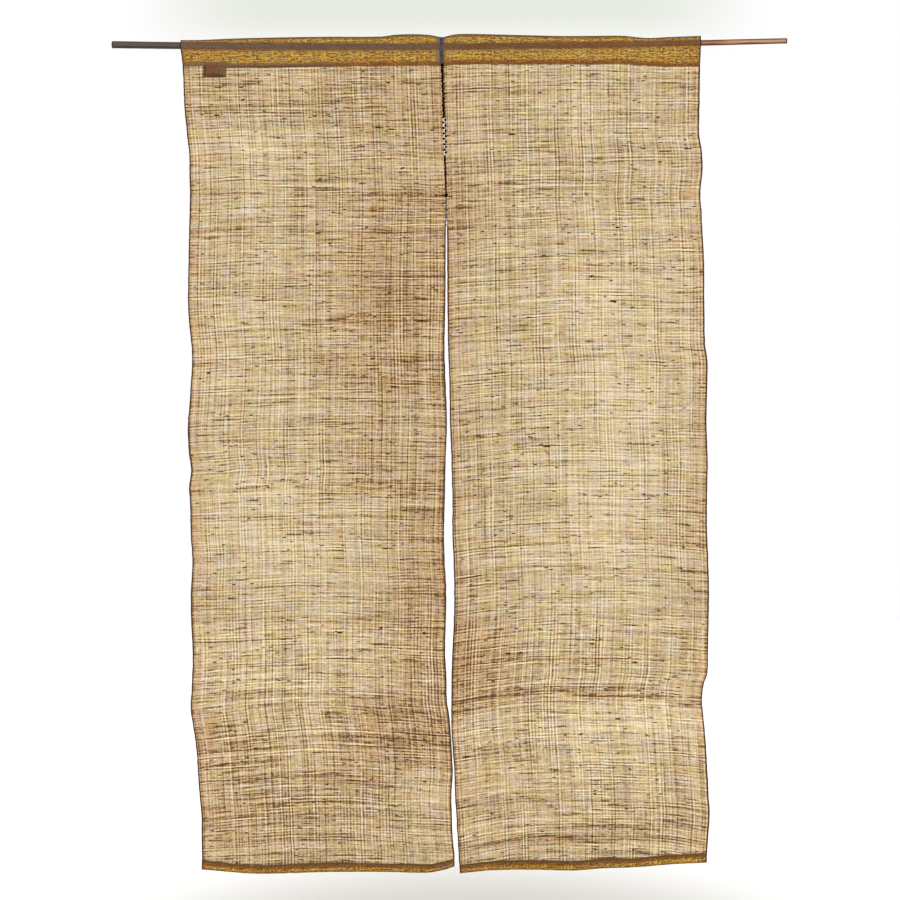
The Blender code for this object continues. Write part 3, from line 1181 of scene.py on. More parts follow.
    def lengthwise(self, part: float) -> list[ClothPoint]:
        """One lengthwise line of the cloth, from the hem's raw edge to the heading's.

        Args:
            part: Part of the width.

        Returns:
            Its points, each with its place along the cloth, which is the drop on the front.
        """
        top_z = self.across.read("heading_top", part)
        foot_z = -self.across.read("heading_foot", part)
        hem_z = -self.across.read("hem_foot", part)
        depth = self.across.read("hem_depth", part)
        line = self.hem_line(hem_z, depth)
        first = len(line) - 1
        start_z = line[first][1]
        line += [(-self.step, z) for z in self.front_heights(start_z, hem_z + depth, foot_z)]
        line += self.casing_line(self.side_x(part, 0.0), top_z, foot_z)
        travelled = [0.0]
        for a, b in zip(line, line[1:]):
            travelled.append(travelled[-1] + math.hypot(b[0] - a[0], b[1] - a[1]))
        return [ClothPoint(y, z, -start_z + travelled[first] - s) for (y, z), s in zip(line, travelled)]

    def front_heights(self, start_z: float, hem_z: float, foot_z: float) -> list[float]:
        """Heights of the points on the front, close together at the hem's and the heading's edges."""
        low, high = hem_z + 1.2, foot_z - 2.4
        heights = [start_z + (hem_z - 1.2 - start_z) * k / 9 for k in range(1, 10)] + [hem_z]
        heights += [low + (high - low) * k / self.body_rows for k in range(self.body_rows + 1)]
        return [*heights, foot_z - 1.5, foot_z - 0.8]

    def place(self, part: float, y: float, z: float) -> Vector:
        """World place in metres of a point before the folds."""
        return Vector((self.side_x(part, -z), y + self.fold_depth(part, -z), z)) * MM

    def band(self, part: float, along: float) -> float:
        """Strength of the brown bands at a place along the cloth."""
        total = 0.0
        for band in self.bands:
            reach = abs(along - band.drop) / band.height
            if reach > 2.5:
                continue
            across = smoothstep(part, band.start - 0.06, 0.16) * (1 - smoothstep(part, band.end - 0.10, 0.16))
            total += band.strength * math.exp(-reach * reach) * across
        return min(total, 1.2)

    def tone(self, part: float, drop: float) -> float:
        """How much paler, or browner if negative, the cloth is here."""
        total = 0.0
        for tone in self.tones:
            reach = ((drop - tone.drop) / tone.height) ** 2 + ((part - tone.part) / tone.width) ** 2
            total += tone.strength * math.exp(-reach)
        return total

    def dense(self, part: float, drop: float) -> float:
        """How much denser the threads lie at the selvedges, with painted crease shade along the folded edges."""
        edge = self.edge_distance(part)
        heading = drop - self.across.read("heading_foot", part)
        top = drop + self.across.read("heading_top", part)
        foot = self.across.read("hem_foot", part) - drop
        hem = foot - self.across.read("hem_depth", part)
        uneven = 0.6 + 0.6 * wander(part * self.flat_width / 24, 7.0, self.seed)
        joined = abs(part - self.joined_part) < 0.5 and drop < self.joined_foot
        total = (0.2 if joined else 1.6) * math.exp(-((edge / 1.3) ** 2)) + 0.22 * math.exp(-edge / 6)
        total += uneven * 1.5 * math.exp(-((heading / 1.0) ** 2)) + 0.9 * math.exp(-((top / 1.1) ** 2))
        return total + 0.7 * math.exp(-((foot / 1.1) ** 2)) + uneven * 0.5 * math.exp(-((hem / 1.3) ** 2))

    def mauve(self, part: float, drop: float) -> float:
        """How much purple grey painted shade the cloth has where the stick, the tag, the turned-in edges or the other
        heading lie behind it.

        Args:
            part: Part of the width.
            drop: Distance below the stick's axis.

        Returns:
            The share, from 0 to 1.
        """
        x = self.side_x(part, drop)
        over_stick = 1 - smoothstep(abs(self.stick_reach(x, drop)), 0.90, 0.22)
        turned = self.turned_edge(part, drop)
        paling = smoothstep(x, self.mauve_fade, 330.0)
        uneven = 0.9 + 0.2 * wander(x / 30, drop / 9, self.seed + 21)
        joined = 0.9 * (1 - smoothstep(abs(x - self.join_x), 4.5, 2.5)) * self.layered(part, drop)
        over_stick *= 0.95 - 0.30 * paling
        turned *= 0.70 * (1 - smoothstep(x, -210.0, 110.0))
        hem = 0.60 * smoothstep(self.hem_rise(part, drop), 0.72, 0.12) * self.layered(part, drop) * (drop > 500)
        tagged = self.tag_shade * self.over_tag(x, drop)
        return max(joined, tagged, uneven * max(over_stick, turned, hem))

    def stick_reach(self, x: float, drop: float) -> float:
        """Height from the stick's axis as a share of its radius and the cloth round it."""
        return (drop + self.stick.height(x) - 0.4) / (self.stick.radius(x) + 0.3)

    def turned_edge(self, part: float, drop: float) -> float:
        """1 along the heading's foot, where its raw edge is turned in."""
        foot = self.across.read("heading_foot", part)
        return smoothstep(drop, foot - 5.4, 1.2) * (1 - smoothstep(drop, foot - 0.2, 1.0))

    def hem_rise(self, part: float, drop: float) -> float:
        """Place in the hem, from 0 at its foot to 1 at its upper edge."""
        return (self.across.read("hem_foot", part) - drop) / self.across.read("hem_depth", part)

    def over_tag(self, x: float, drop: float) -> float:
        """1 where the tag hangs behind the cloth."""
        if self.tag_width == 0.0:
            return 0.0
        side = 1 - smoothstep(abs(x - self.tag_middle), self.tag_width / 2 - 0.8, 1.2)
        return side * (1 - smoothstep(drop, self.tag_foot - 0.8, 1.2)) * smoothstep(drop, 20.0, 5.0)

    def russet(self, part: float, drop: float) -> float:
        """How red brown the cloth looks, a painted shade by the stick, over the tag and along the turned-in edges of
        the heading and the hem, which lie behind it.

        Args:
            part: Part of the width.
            drop: Distance below the stick's axis.

        Returns:
            The share, from 0 to 1.
        """
        x = self.side_x(part, drop)
        heading = 0.55 * self.turned_edge(part, drop) * smoothstep(x, -260.0, 130.0)
        reach = abs(self.stick_reach(x, drop))
        margin = 0.55 * smoothstep(reach, 0.45, 0.35) * (1 - smoothstep(reach, 1.0, 0.2))
        core = 0.60 * smoothstep(x, -90.0, 160.0) * (1 - smoothstep(reach, 0.8, 0.3))
        line = 0.40 + 0.10 * wander(x / 17, 2.0, self.seed + 25)
        rise = self.hem_rise(part, drop)
        hem = 0.60 * smoothstep(rise, line, 0.14) * (1 - smoothstep(rise, 0.75, 0.20)) * (drop > 500)
        uneven = 0.8 + 0.7 * wander(x / 14, drop / 5, self.seed + 27)
        tagged = 0.45 * self.over_tag(x, drop) * smoothstep(x, self.tag_middle + 12.0, -14.0)
        return min(1.0, max(tagged, uneven * max(heading, margin, core, hem)))

    def rim(self, part: float, drop: float) -> float:
        """How strong the near black painted shade is along the cloth's folded edges and the tag's edges.

        Args:
            part: Part of the width.
            drop: Distance below the stick's axis.

        Returns:
            The share, from 0 to 1.
        """
        x = self.side_x(part, drop)
        top = drop + self.across.read("heading_top", part)
        heading = drop - self.across.read("heading_foot", part)
        foot = self.across.read("hem_foot", part) - drop
        broken = 0.6 + 0.9 * wander(x / 9, 11.0, self.seed)
        dark_stretch = math.exp(-(((x + 250) / 75) ** 2))
        lines = [
            1.0 * math.exp(-((top / 1.0) ** 2)),
            (0.25 * broken + 0.8 * dark_stretch) * math.exp(-(((heading + 0.2) / 0.9) ** 2)),
            0.95 * broken * math.exp(-((foot / 1.1) ** 2)),
            (0.45 + 0.35 * broken) * math.exp(-(((self.hem_rise(part, drop) - 0.95) / 0.09) ** 2)) * (drop > 500),
            0.75 * math.exp(-((self.edge_distance(part) / 1.2) ** 2)) * self.layered(part, drop),
        ]
        if self.tag_width:
            side = abs(x - self.tag_middle + self.tag_width / 2 - 0.6)
            lines.append(math.exp(-((side / 1.0) ** 2)) * smoothstep(drop, 25.0, 3.0) * (drop < self.tag_foot))
            lines.append(0.9 * math.exp(-(((drop - self.tag_foot + 0.5) / 1.0) ** 2)) * self.over_tag(x, drop))
        return min(1.0, max(0.0, max(lines)))

    def orange(self, part: float, drop: float) -> float:
        """How orange the threads are, by the selvedges and in the browner areas."""
        return 0.45 * math.exp(-self.edge_distance(part) / 14) + 1.1 * max(0.0, -self.tone(part, drop))

    def parts(self) -> list[float]:
        """Places of the lengthwise lines, close together at the selvedges."""
        close = [mm / self.flat_width for mm in (0.0, 0.8, 1.7, 3.0)]
        inner = [close[-1] + (1 - 2 * close[-1]) * k / self.columns for k in range(1, self.columns)]
        if self.tag_width:
            left = OUTLINE.read(self.left_edge, self.tag_foot)
            for side in (-1, 1):
                edge = (self.tag_middle + side * self.tag_width / 2 - left) / self.flat_width
                inner += [edge + mm / self.flat_width for mm in (-1.0, -0.2, 0.6, 1.4)]
        return [*close, *sorted(inner), *[1 - part for part in reversed(close)]]

    def build_cloth(self) -> bpy.types.Object:
        """Make the sheet.

        Returns:
            The new object.
        """
        parts = self.parts()
        lines = [self.lengthwise(part) for part in parts]
        rows = len(lines[0])
        points, weave = [], []
        painted = {"band": [], "tone": [], "layered": [], "dense": [], "mauve": [], "orange": [], "russet": [], "rim": []}
        for part, line in zip(parts, lines):
            for point in line:
                drop = -point.z
                points.append(self.place(part, point.y, point.z))
                along = point.along - self.droop(part, drop)
                weave.append((part * self.flat_width * MM, along * MM))
                painted["band"].append(self.band(part, along))
                painted["tone"].append(self.tone(part, drop))
                painted["layered"].append(self.layered(part, drop))
                painted["dense"].append(self.dense(part, drop))
                painted["mauve"].append(self.mauve(part, drop))
                painted["orange"].append(self.orange(part, drop))
                painted["russet"].append(self.russet(part, drop))
                painted["rim"].append(self.rim(part, drop))
        faces = []
        for i in range(len(parts) - 1):
            for j in range(rows - 1):
                a, b = i * rows + j, (i + 1) * rows + j
                faces.append((a, b, b + 1, a + 1))
        mesh = bpy.data.meshes.new(self.name + "_cloth")
        mesh.from_pydata(points, [], faces)
        layer = mesh.uv_layers.new(name=WEAVE_MAP)
        layer.data.foreach_set("uv", [n for face in faces for corner in face for n in weave[corner]])
        for name, values in painted.items():
            mesh.attributes.new(name, "FLOAT", "POINT").data.foreach_set("value", values)
        mesh.materials.append(self.finish.build(self.name + "_hemp"))
        mesh.shade_smooth()
        obj = link(bpy.data.objects.new(self.name + "_cloth", mesh))
        thicken = obj.modifiers.new("Thickness", "SOLIDIFY")
        thicken.thickness = self.sheet * MM
        thicken.offset = 0.0
        thicken.use_even_offset = True
        return obj

    def layered(self, part: float, drop: float) -> float:
        """1 in the heading and the hem, where the cloth lies in layers, and 0 below and above."""
        heading = 1 - smoothstep(drop, self.across.read("heading_foot", part) - 1.0, 2.0)
        hem = self.across.read("hem_foot", part) - self.across.read("hem_depth", part)
        return max(heading, smoothstep(drop, hem - 0.5, 0.9))

    def build_selvedges(self) -> bpy.types.Object:
        """Make the dark turned threads along both selvedges.

        Returns:
            The new object.
        """
        bundle = TubeBundle(self.name + "_selvedges")
        for part in (0.0, 1.0):
            line, radii = [], []
            for point in self.lengthwise(part):
                line.append(self.place(part, point.y, point.z))
                plain = 1 - self.layered(part, -point.z)
                rough = 1 + 0.35 * wander(point.along / 5, part, self.seed + 13)
                joined = part == self.joined_part and -point.z < self.joined_foot
                radii.append((0.12 if joined else 0.58 + 0.20 * plain) * rough * MM)
            bundle.add(line, radii, Vector((1, 0, 0)))
        return bundle.build(self.dark_thread)

    def weft_line(self, along: float, start: float, end: float, pitch: float = 6.0) -> list[tuple[float, float]]:
        """Parts and drops of a weft that lies at one place along the cloth.

        Args:
            along: Place along the cloth.
            start: First part of the width.
            end: Last part of the width.
            pitch: Distance between points.

        Returns:
            Pairs of part and drop.
        """
        steps = max(5, round((end - start) * self.flat_width / pitch))
        line = []
        for k in range(steps + 1):
            part = start + (end - start) * k / steps
            line.append((part, along + self.droop(part, along)))
        return line

    def build_wefts(self) -> bpy.types.Object:
        """Make the thick dark wefts and the slubs that stand proud of the cloth.

        Returns:
            The new object.
        """
        bundle = TubeBundle(self.name + "_wefts", 6)
        for weft in self.heavy:
            self.add_weft(bundle, weft.drop, weft.start, weft.end, weft.radius, 6.0)
        for _ in range(self.slub_count):
            drop = self.dice.uniform(45, 1160)
            start = self.dice.uniform(0.01, 0.97)
            length = self.dice.choice((3.0, 4.0, 5.0, 6.0, 8.0, 12.0)) / self.flat_width
            radius = 0.50 + 0.95 * self.dice.random() ** 2
            self.add_weft(bundle, drop, start, min(start + length, 0.995), radius, 1.5)
        return bundle.build(self.weft_thread)

    def add_weft(self, bundle: TubeBundle, drop: float, start: float, end: float, radius: float,
                 pitch: float) -> None:
        """Add one tapered weft thread to a bundle.

        Args:
            bundle: Where it goes.
            drop: Its place along the cloth.
            start: First part of the width.
            end: Last part of the width.
            radius: Its greatest radius.
            pitch: Distance between its points.
        """
        line, radii = [], []
        pairs = self.weft_line(drop, start, end, pitch)
        for k, (part, low) in enumerate(pairs):
            ends = min(1.0, 4 * min(k, len(pairs) - 1 - k) / (len(pairs) - 1) + 0.25)
            uneven = 0.75 + 0.5 * wander(part * self.flat_width / 11, drop, self.seed + 17)
            line.append(self.place(part, -self.step, -low))
            radii.append(radius * ends * uneven * MM)
        bundle.add(line, radii, Vector((0, 1, 0)))

    def build_sewing(self) -> bpy.types.Object:
        """Make the running stitches that hold the casing's and the hem's turned edges.

        Returns:
            The new object.
        """
        bundle = TubeBundle(self.name + "_sewing", 5)
        pitch, share = 7.4, 0.46
        count = int(self.flat_width / pitch)
        for k in range(count):
            for column, offset, turn in (("heading_foot", -1.6, 0), ("hem_foot", -11.2, 1)):
                for side in Side:
                    start = (k + 0.2 + 0.5 * (side is Side.BACK) + 0.15 * self.dice.random()) * pitch
                    self.add_stitch(bundle, column, offset, start, share * pitch, side)
        return bundle.build(self.dark_thread)

    def add_stitch(self, bundle: TubeBundle, column: str, offset: float, start: float, length: float,
                   side: Side) -> None:
        """Add one running stitch.

        Args:
            bundle: Where it goes.
            column: The edge that the row of stitches follows.
            offset: Distance from that edge, up is negative.
            start: Distance of its start from the left selvedge.
            length: Its length.
            side: Side of the cloth that it shows on.
        """
        line, radii = [], []
        for t in (0.0, 0.25, 0.5, 0.75, 1.0):
            part = min((start + t * length) / self.flat_width, 0.998)
            drop = self.across.read(column, part) + offset
            rise = math.sin(math.pi * t)
            y = side.value * (self.step + self.sheet / 2 + 0.22 * rise - 0.12)
            line.append(self.place(part, y, -drop))
            radii.append((0.12 + 0.13 * rise) * MM)
        bundle.add(line, radii, Vector((0, 1, 0)))

    def build(self) -> list[bpy.types.Object]:
        """Returns:
            The sheet first, then what is on it.
        """
        cloth = self.build_cloth()
        on_it = [self.build_selvedges(), self.build_wefts(), self.build_sewing()]
        for piece in (cloth, *on_it):
            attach(piece, BODY)
            LOG.info("%s: %d faces", piece.name, len(piece.data.polygons))
        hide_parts(self.name)
        self.flat_width * MM
        self.flat_length * MM
        return [cloth, *on_it]


@dataclass
class JoiningSeam:
    """Dark thread laced across the two inner selvedges, with its knot and loose end."""

    left: ClothPanel
    right: ClothPanel
    thread: bpy.types.Material
    join_thread: bpy.types.Material
    top: float = 27.5
    foot: float = 213.0
    period: float = 3.5
    slack_period: float = 7.8
    reach: float = 1.7
    slack_reach: float = -0.1
    cord_reach: float = 1.0
    lap: float = 1.0
    core_lap: float = 0.35
    radius: float = 1.05
    dot_radius: float = 1.95
    core_radius: float = 1.0
    slack_top: float = 101.0
    slack_foot: float = 160.0
    run_foot: float = 258.0
    run_radius: float = 0.85
    join_radius: float = 1.0
    knot_radius: float = 2.9
    tail: float = 17.0

    def edges(self, drop: float) -> tuple[float, float]:
        """World x of the two inner selvedges at a drop."""
        return self.left.side_x(1.0, drop), self.right.side_x(0.0, drop)

    def middle(self, drop: float) -> float:
        """World x of the seam's middle, which laps a little over the left panel."""
        left, right = self.edges(drop)
        return (left + right) / 2 - self.lap * (1 - smoothstep(drop, 30.0, 32.0))

    def lie(self, x: float, drop: float) -> float:
        """World y that the folds of the cloth nearest to x add."""
        left, right = self.edges(drop)
        on_left = self.left.fold_depth(min(1.0, 1.0 + (x - left) / self.left.flat_width), drop)
        on_right = self.right.fold_depth(max(0.0, (x - right) / self.right.flat_width), drop)
        share = min(max((x - left) / (right - left), 0.0), 1.0)
        return on_left + share * (on_right - on_left)

    def point(self, x: float, drop: float, proud: float) -> Vector:
        """World place in metres, proud of the cloth towards the back if positive."""
        return Vector((x, self.lie(x, drop) - self.left.step + proud, -drop)) * MM

    def add_lacing(self, bundle: TubeBundle, top: float, foot: float, reach: float, radius: float,
                   side: Side) -> None:
        """Add thread laced to and fro across the seam on one side of the cloth.

        Args:
            bundle: Where it goes.
            top: Drop of its top.
            foot: Drop of its foot.
            reach: How far it turns from the seam's middle.
            radius: The thread's radius.
            side: Side of the cloth.
        """
        dice = random.Random(f"lacing {top} {side.name}")
        line, radii = [], []
        drop, turn = top, side.value
        while drop < foot:
            x = self.middle(drop) + turn * reach * dice.uniform(0.7, 1.25)
            line.append(self.point(x, drop, side.value * 0.9))
            radii.append(radius * dice.uniform(0.85, 1.2) * MM)
            drop += self.period * dice.uniform(0.8, 1.2)
            turn = -turn
        bundle.add(line, radii, Vector((0, 1, 0)))

    def add_dot(self, bundle: TubeBundle, x: float, drop: float, side: Side) -> None:
        """Add the small lump of one slack stitch.

        Args:
            bundle: Where it goes.
            x: World x of its middle.
            drop: Its drop.
            side: Side of the cloth.
        """
        line, radii = [], []
        for k in range(7):
            t = k / 6 - 0.5
            line.append(self.point(x + 1.2 * t, drop + 2.8 * t, side.value * 0.9))
            radii.append(self.dot_radius * (0.35 + 0.65 * math.cos(math.pi * t)) * MM)
        bundle.add(line, radii, Vector((0, 1, 0)))

    def build(self) -> bpy.types.Object:
        """Make the seam.

        Returns:
            The new object.
        """
        bundle = TubeBundle("joining_seam", 8)
        for side in Side:
            self.add_lacing(bundle, self.top, self.slack_top, self.reach, self.radius, side)
            self.add_lacing(bundle, self.slack_foot - 2.0, self.foot, self.cord_reach, 0.8, side)
            drop = self.slack_top + 1.0
            while drop < self.slack_foot - 4.0:
                left, right = self.edges(drop)
                self.add_dot(bundle, left - self.slack_reach, drop, side)
                low = drop + self.slack_period / 2
                self.add_dot(bundle, self.edges(low)[1] + 1.0, low, side)
                drop += self.slack_period
        self.add_core(bundle, self.top - 2.5, 48.0, 1.75, 1.4)
        self.add_core(bundle, 46.0, self.slack_top, 1.3, self.core_radius)
        self.add_core(bundle, self.slack_foot - 3.0, self.foot - 4.0, 0.85, 0.9)
        self.add_tail(bundle)
        seam = bundle.build(self.thread)
        knot = self.build_knot()
        knot.data.materials.append(self.thread)
        loose = TubeBundle("seam_run", 8)
        self.add_core(loose, self.foot, self.run_foot, self.run_radius, 0.5)
        for drop, reach in ((235.5, 2.6), (246.0, 1.7)):
            x = self.middle(drop)
            line = [self.point(x + reach * k / 3, drop + 0.3 * k, -0.7) for k in range(-3, 4)]
            loose.add(line, [(1.0 - 0.2 * abs(k)) * MM for k in range(-3, 4)], Vector((0, 1, 0)))
        run = loose.build(self.left.dark_thread)
        for piece in (seam, knot, run):
            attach(piece, BODY)
            LOG.info("%s: %d faces", piece.name, len(piece.data.polygons))
        return seam

    def add_core(self, bundle: TubeBundle, top: float, foot: float, start: float, end: float) -> None:
        """Add the thread that runs down between the selvedges.

        Args:
            bundle: Where it goes.
            top: Drop of its top.
            foot: Drop of its foot.
            start: Radius at its top.
            end: Radius at its foot.
        """
        line, radii = [], []
        steps = max(4, round((foot - top) / 2.4))
        for k in range(steps + 1):
            t = k / steps
            drop = top + t * (foot - top)
            x = sum(self.edges(drop)) / 2 - self.core_lap + 0.3 * math.sin(k * 2.1)
            line.append(self.point(x, drop, -0.4))
            radii.append((start + t * (end - start)) * (1 + 0.25 * math.sin(k * 1.7)) * MM)
        bundle.add(line, radii, Vector((0, 1, 0)))

    def build_heading_join(self) -> bpy.types.Object:
        """Make the overcast threads that close the gap between the two casings.

        Returns:
            The new object.
        """
        bundle = TubeBundle("heading_join", 8)
        left = [self.left.place(1.0, p.y, p.z) for p in self.left.lengthwise(1.0)]
        right = [self.right.place(0.0, p.y, p.z) for p in self.right.lengthwise(0.0)]
        middle = [(a + b) / 2 for a, b in zip(left, right)]
        line = [point for point in middle if point.z > -0.0262]
        radii = [(self.join_radius + 0.12 * wander(k / 2.0, 0.0, 3.0)) * MM for k in range(len(line))]
        for shift in (-2.6, -0.8, 0.9):
            bundle.add([p + Vector((shift * MM, 0, 0)) for p in line], radii, Vector((1, 0, 0)))
        join = bundle.build(self.join_thread)
        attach(join, BODY)
        LOG.info("%s: %d faces", join.name, len(join.data.polygons))
        return join

    def add_tail(self, bundle: TubeBundle) -> None:
        """Add the loose end that runs left from the knot."""
        line, radii = [], []
        for k in range(10):
            t = k / 9
            drop = self.foot + 1.2 + 1.0 * math.sin(2.4 * t) - 0.6 * t
            place = self.left.place(1.0 - self.tail * t / self.left.flat_width, -self.left.step, -drop)
            line.append(place + Vector((0, -0.9, 0)) * MM)
            radii.append((0.95 - 0.45 * t) * MM)
        bundle.add(line, radii, Vector((0, 1, 0)))

    def build_knot(self) -> bpy.types.Object:
        """Make the lumpy knot at the seam's foot.

        Returns:
            The new object.
        """
        left, right = self.edges(self.foot)
        mesh = bpy.data.meshes.new("seam_knot")
        bm = bmesh.new()
        bmesh.ops.create_icosphere(bm, subdivisions=3, radius=1.0)
        for vertex in bm.verts:
            lump = 1 + 0.30 * wander(vertex.co.x * 2.2, vertex.co.z * 2.2, vertex.co.y * 2 + 3)
            vertex.co = vertex.co * lump
            vertex.co.x *= self.knot_radius * 0.9 * MM
            vertex.co.y *= self.knot_radius * 0.45 * MM
            vertex.co.z *= self.knot_radius * MM
        middle = self.point((left + right) / 2, self.foot + 1.5, -1.0)
        bmesh.ops.translate(bm, verts=bm.verts, vec=middle)
        bm.to_mesh(mesh)
        bm.free()
        mesh.uv_layers.new(name=WEAVE_MAP)
        mesh.shade_smooth()
        return link(bpy.data.objects.new("seam_knot", mesh))


@dataclass
class Tag:
    """Small bare woven tag behind the left heading's foot."""

    panel: ClothPanel
    thread: bpy.types.Material
    middle_x: float = -338.0
    width: float = 32.0
    top_drop: float = 20.5
    foot_drop: float = 41.5
    lean: float = 0.95
    sheet: float = 0.6
    finish: TagCloth = TagCloth()

    def point(self, across: float, down: float, proud: float = 0.0) -> Vector:
        """World place in metres at shares of the tag's width and height."""
        behind = self.panel.step + self.panel.sheet + 0.55
        x = self.middle_x + (across - 0.5) * self.width
        drop = self.top_drop + down * (self.foot_drop - self.top_drop)
        y = behind + self.lean * (1 - down) ** 2 + 0.15 * wander(across * 3, down * 2, 5.0) + proud
        return Vector((x, y, -drop)) * MM

    def build(self) -> bpy.types.Object:
        """Make the tag and its edge threads.

        Returns:
            The tag.
        """
        across, down = 32, 22
        mesh = bpy.data.meshes.new("tag")
        points = [self.point(i / across, j / down) for i in range(across + 1) for j in range(down + 1)]
        faces = []
        for i in range(across):
            for j in range(down):
                a, b = i * (down + 1) + j, (i + 1) * (down + 1) + j
                faces.append((a, a + 1, b + 1, b))
        mesh.from_pydata(points, [], faces)
        layer = mesh.uv_layers.new(name=WEAVE_MAP)
        spots = [(p.x, p.z) for p in points]
        layer.data.foreach_set("uv", [n for face in faces for corner in face for n in spots[corner]])
        mesh.materials.append(self.finish.build("tag_tape"))
        mesh.shade_smooth()
        tag = link(bpy.data.objects.new("tag", mesh))
        thicken = tag.modifiers.new("Thickness", "SOLIDIFY")
        thicken.thickness = self.sheet * MM
        thicken.offset = 0.0
        edge = TubeBundle("tag_edge", 6)
        corners = ((0.0, 0.0), (0.0, 1.0), (1.0, 1.0), (1.0, 0.0), (0.0, 0.0))
        for a, b in zip(corners, corners[1:]):
            steps = 16
            line = [self.point(a[0] + (b[0] - a[0]) * k / steps, a[1] + (b[1] - a[1]) * k / steps)
                    for k in range(steps + 1)]
            edge.add(line, [0.42 * MM] * (steps + 1), Vector((0, 1, 0)))
        binding = edge.build(self.thread)
        for piece in (tag, binding):
            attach(piece, BODY)
            LOG.info("%s: %d faces", piece.name, len(piece.data.polygons))
        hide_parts("label")
        self.width * MM
        (self.foot_drop - self.top_drop) * MM
        return tag


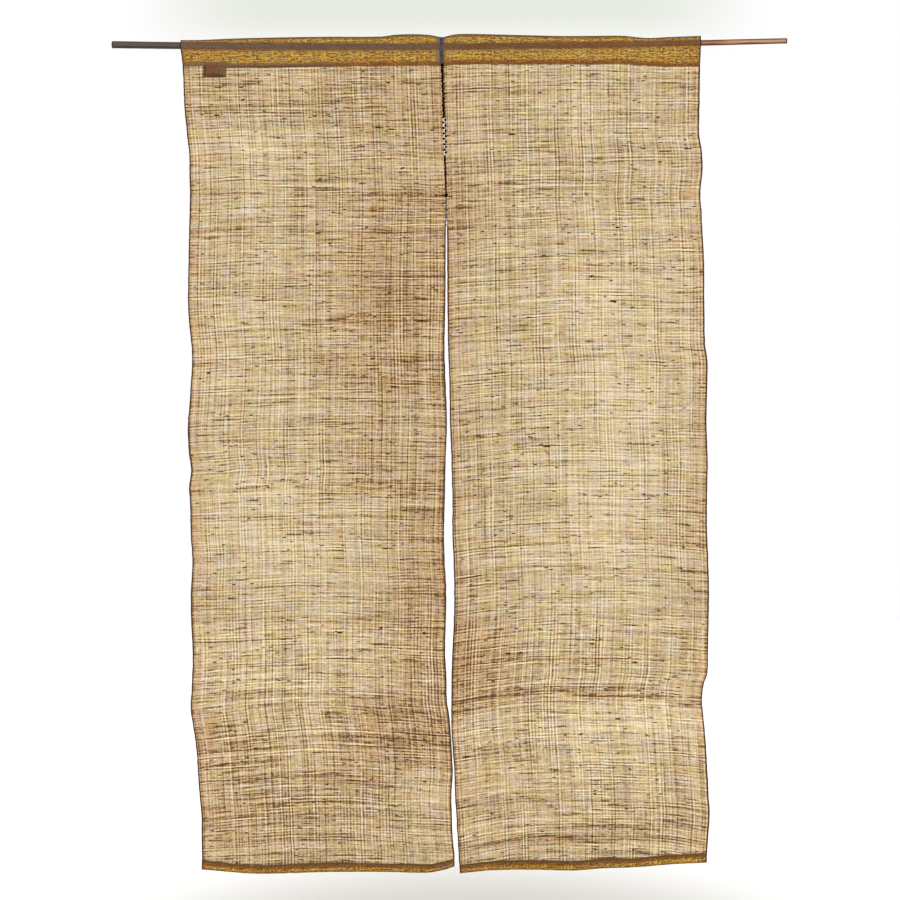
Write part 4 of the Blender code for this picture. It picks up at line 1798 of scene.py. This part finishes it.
@dataclass
class Studio:
    """Pale floor, even white light and the camera that the curtain is seen by."""

    distance: float = 3.2
    camera_x: float = -0.00259
    camera_z: float = -0.58119
    roll: float = 0.0057
    picture_width: float = 1.296
    sensor: float = 36.0
    floor_z: float = -1.30
    floor_radius: float = 9.0
    card_side: float = 9.0
    card_y: float = 6.0

    def build_camera(self) -> bpy.types.Object:
        """Make the camera, rolled a little as in the photograph.

        Returns:
            The camera.
        """
        data = bpy.data.cameras.new("camera")
        data.sensor_width = self.sensor
        data.lens = self.sensor * self.distance / self.picture_width
        camera = link(bpy.data.objects.new("camera", data))
        right = Vector((math.cos(self.roll), 0, -math.sin(self.roll)))
        up = Vector((math.sin(self.roll), 0, math.cos(self.roll)))
        turn = Matrix((right, up, right.cross(up))).transposed()
        camera.matrix_world = Matrix.Translation((self.camera_x, -self.distance, self.camera_z)) @ turn.to_4x4()
        bpy.context.scene.camera = camera
        return camera

    def build_light(self) -> None:
        """Make the even white surround and one large soft lamp."""
        world = bpy.data.worlds.new("surround")
        world.use_nodes = True
        bench = Bench(world.node_tree)
        sky = bench.add("ShaderNodeBackground", None, {"Color": (1.0, 1.0, 1.0), "Strength": 1.0})
        bench.add("ShaderNodeOutputWorld", None, {"Surface": sky.outputs[0]})
        bpy.context.scene.world = world
        lamp = bpy.data.lights.new("soft_lamp", "AREA")
        lamp.shape = "SQUARE"
        lamp.size = 1.6
        lamp.energy = 14.0
        obj = link(bpy.data.objects.new("soft_lamp", lamp))
        obj.location = (-2.1, -2.4, 0.9)
        obj.rotation_euler = (Vector((0, 0, -0.5)) - obj.location).to_track_quat("-Z", "Y").to_euler()

    def build_floor(self) -> bpy.types.Object:
        """Make the pale floor, a little greyer under the curtain by a painted shadow, and glowing further out.

        Returns:
            The floor.
        """
        mesh = bpy.data.meshes.new("floor")
        bm = bmesh.new()
        bmesh.ops.create_circle(bm, cap_ends=True, segments=96, radius=self.floor_radius)
        bmesh.ops.translate(bm, verts=bm.verts, vec=(0, 0, self.floor_z))
        bm.to_mesh(mesh)
        bm.free()
        material, bench = new_material("floor_paint")
        place = bench.add("ShaderNodeTexCoord").outputs["Object"]
        flat = bench.add("ShaderNodeVectorMath", {"operation": "MULTIPLY"}, {0: place, 1: (1.35, 1.0, 0.0)})
        length = bench.add("ShaderNodeVectorMath", {"operation": "LENGTH"}, {0: flat.outputs[0]})
        away = bench.number(length.outputs["Value"])
        # Painted shadow: the floor glows less near the middle, so it is greyer under the curtain, and glows further out
        # to meet the white surround.
        shader = bench.add("ShaderNodeBsdfPrincipled", None, {
            "Base Color": (0.80, 0.80, 0.77), "Roughness": 0.9, "Specular IOR Level": 0.1,
            "Emission Color": bench.mix(away.rise(0.35, 1.0), (0.0, 0.0, 0.0), (0.34, 0.34, 0.36)),
            "Emission Strength": 1.0,
        })
        bench.finish(shader.outputs[0])
        mesh.materials.append(material)
        floor = link(bpy.data.objects.new("floor", mesh))
        return floor

    def build_backdrop(self) -> bpy.types.Object:
        """Make the white card far behind, a little grey green above the curtain.

        Returns:
            The card.
        """
        mesh = bpy.data.meshes.new("backdrop")
        side, y = self.card_side, self.card_y
        corners = [(-side, y, self.floor_z), (side, y, self.floor_z), (side, y, side), (-side, y, side)]
        mesh.from_pydata(corners, [], [(0, 1, 2, 3)])
        material, bench = new_material("backdrop_paint")
        place = bench.add("ShaderNodeTexCoord").outputs["Object"]
        parts = bench.add("ShaderNodeSeparateXYZ", None, {0: place})
        across = bench.number(parts.outputs["X"])
        height = bench.number(parts.outputs["Z"])
        shade = (across * across).rise(1.9, 0.5) * height.rise(1.02, 1.25)
        shader = bench.add("ShaderNodeBsdfPrincipled", None, {
            "Base Color": (0.0, 0.0, 0.0), "Roughness": 1.0, "Specular IOR Level": 0.0,
            "Emission Color": bench.mix(shade, (1.0, 1.0, 1.0), (0.80, 0.83, 0.75)),
            "Emission Strength": 1.0,
        })
        bench.finish(shader.outputs[0])
        mesh.materials.append(material)
        card = link(bpy.data.objects.new("backdrop", mesh))
        return card

    def build(self) -> None:
        """Make the camera, light, floor and backdrop, and keep plain colours."""
        self.build_camera()
        self.build_light()
        self.build_floor()
        self.build_backdrop()
        bpy.context.scene.view_settings.view_transform = "Standard"
        bpy.context.scene.cycles.transparent_max_bounces = 24


def main() -> None:
    """Build the curtain's pieces in order."""
    logging.basicConfig(level=logging.INFO, format="%(name)s %(message)s")
    Studio().build()
    stick_maker = Stick()
    stick = stick_maker.build()
    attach(stick, BODY)
    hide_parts("rod")
    LOG.info("%s: %d faces", stick.name, len(stick.data.polygons))
    edge_thread = SpunThread((0.075, 0.026, 0.009), (0.012, 0.004, 0.002), 2.2, 0.95, 0.06).build("selvedge_thread")
    weft_thread = SpunThread((0.060, 0.022, 0.003), (0.014, 0.004, 0.001), 2.2, 0.95, 0.04).build("weft_thread")
    seam_thread = SpunThread((0.016, 0.003, 0.002), (0.003, 0.001, 0.001), 2.2, 0.95, 0.02).build("seam_thread")
    join_thread = SpunThread((0.105, 0.100, 0.115), (0.035, 0.033, 0.040)).build("join_thread")
    left = ClothPanel(
        name="panel_left", left_edge="left_outer", right_edge="left_inner",
        across=SmoothTable(LEFT_ACROSS, "part"), folds=LEFT_FOLDS, droops=SmoothTable(LEFT_DROOPS, "drop"),
        bands=LEFT_BANDS, tones=LEFT_TONES, heavy=LEFT_HEAVY, flat_width=368.0, flat_length=1274.0, joined_part=1.0, seed=2.0,
        tag_width=32.0,
        stick=stick_maker, finish=HempCloth(seed=0.0), dark_thread=edge_thread, weft_thread=weft_thread,
    )
    right = ClothPanel(
        name="panel_right", left_edge="right_inner", right_edge="right_outer",
        across=SmoothTable(RIGHT_ACROSS, "part"), folds=RIGHT_FOLDS, droops=SmoothTable(RIGHT_DROOPS, "drop"),
        bands=RIGHT_BANDS, tones=RIGHT_TONES, heavy=RIGHT_HEAVY, flat_width=366.0, flat_length=1272.0, joined_part=0.0, seed=40.0,
        stick=stick_maker, finish=HempCloth(seed=50.0), dark_thread=edge_thread, weft_thread=weft_thread,
    )
    left.build()
    right.build()
    seam = JoiningSeam(left, right, seam_thread, join_thread)
    seam.build()
    seam.build_heading_join()
    Tag(left, edge_thread).build()


if __name__ == "__main__":
    main()
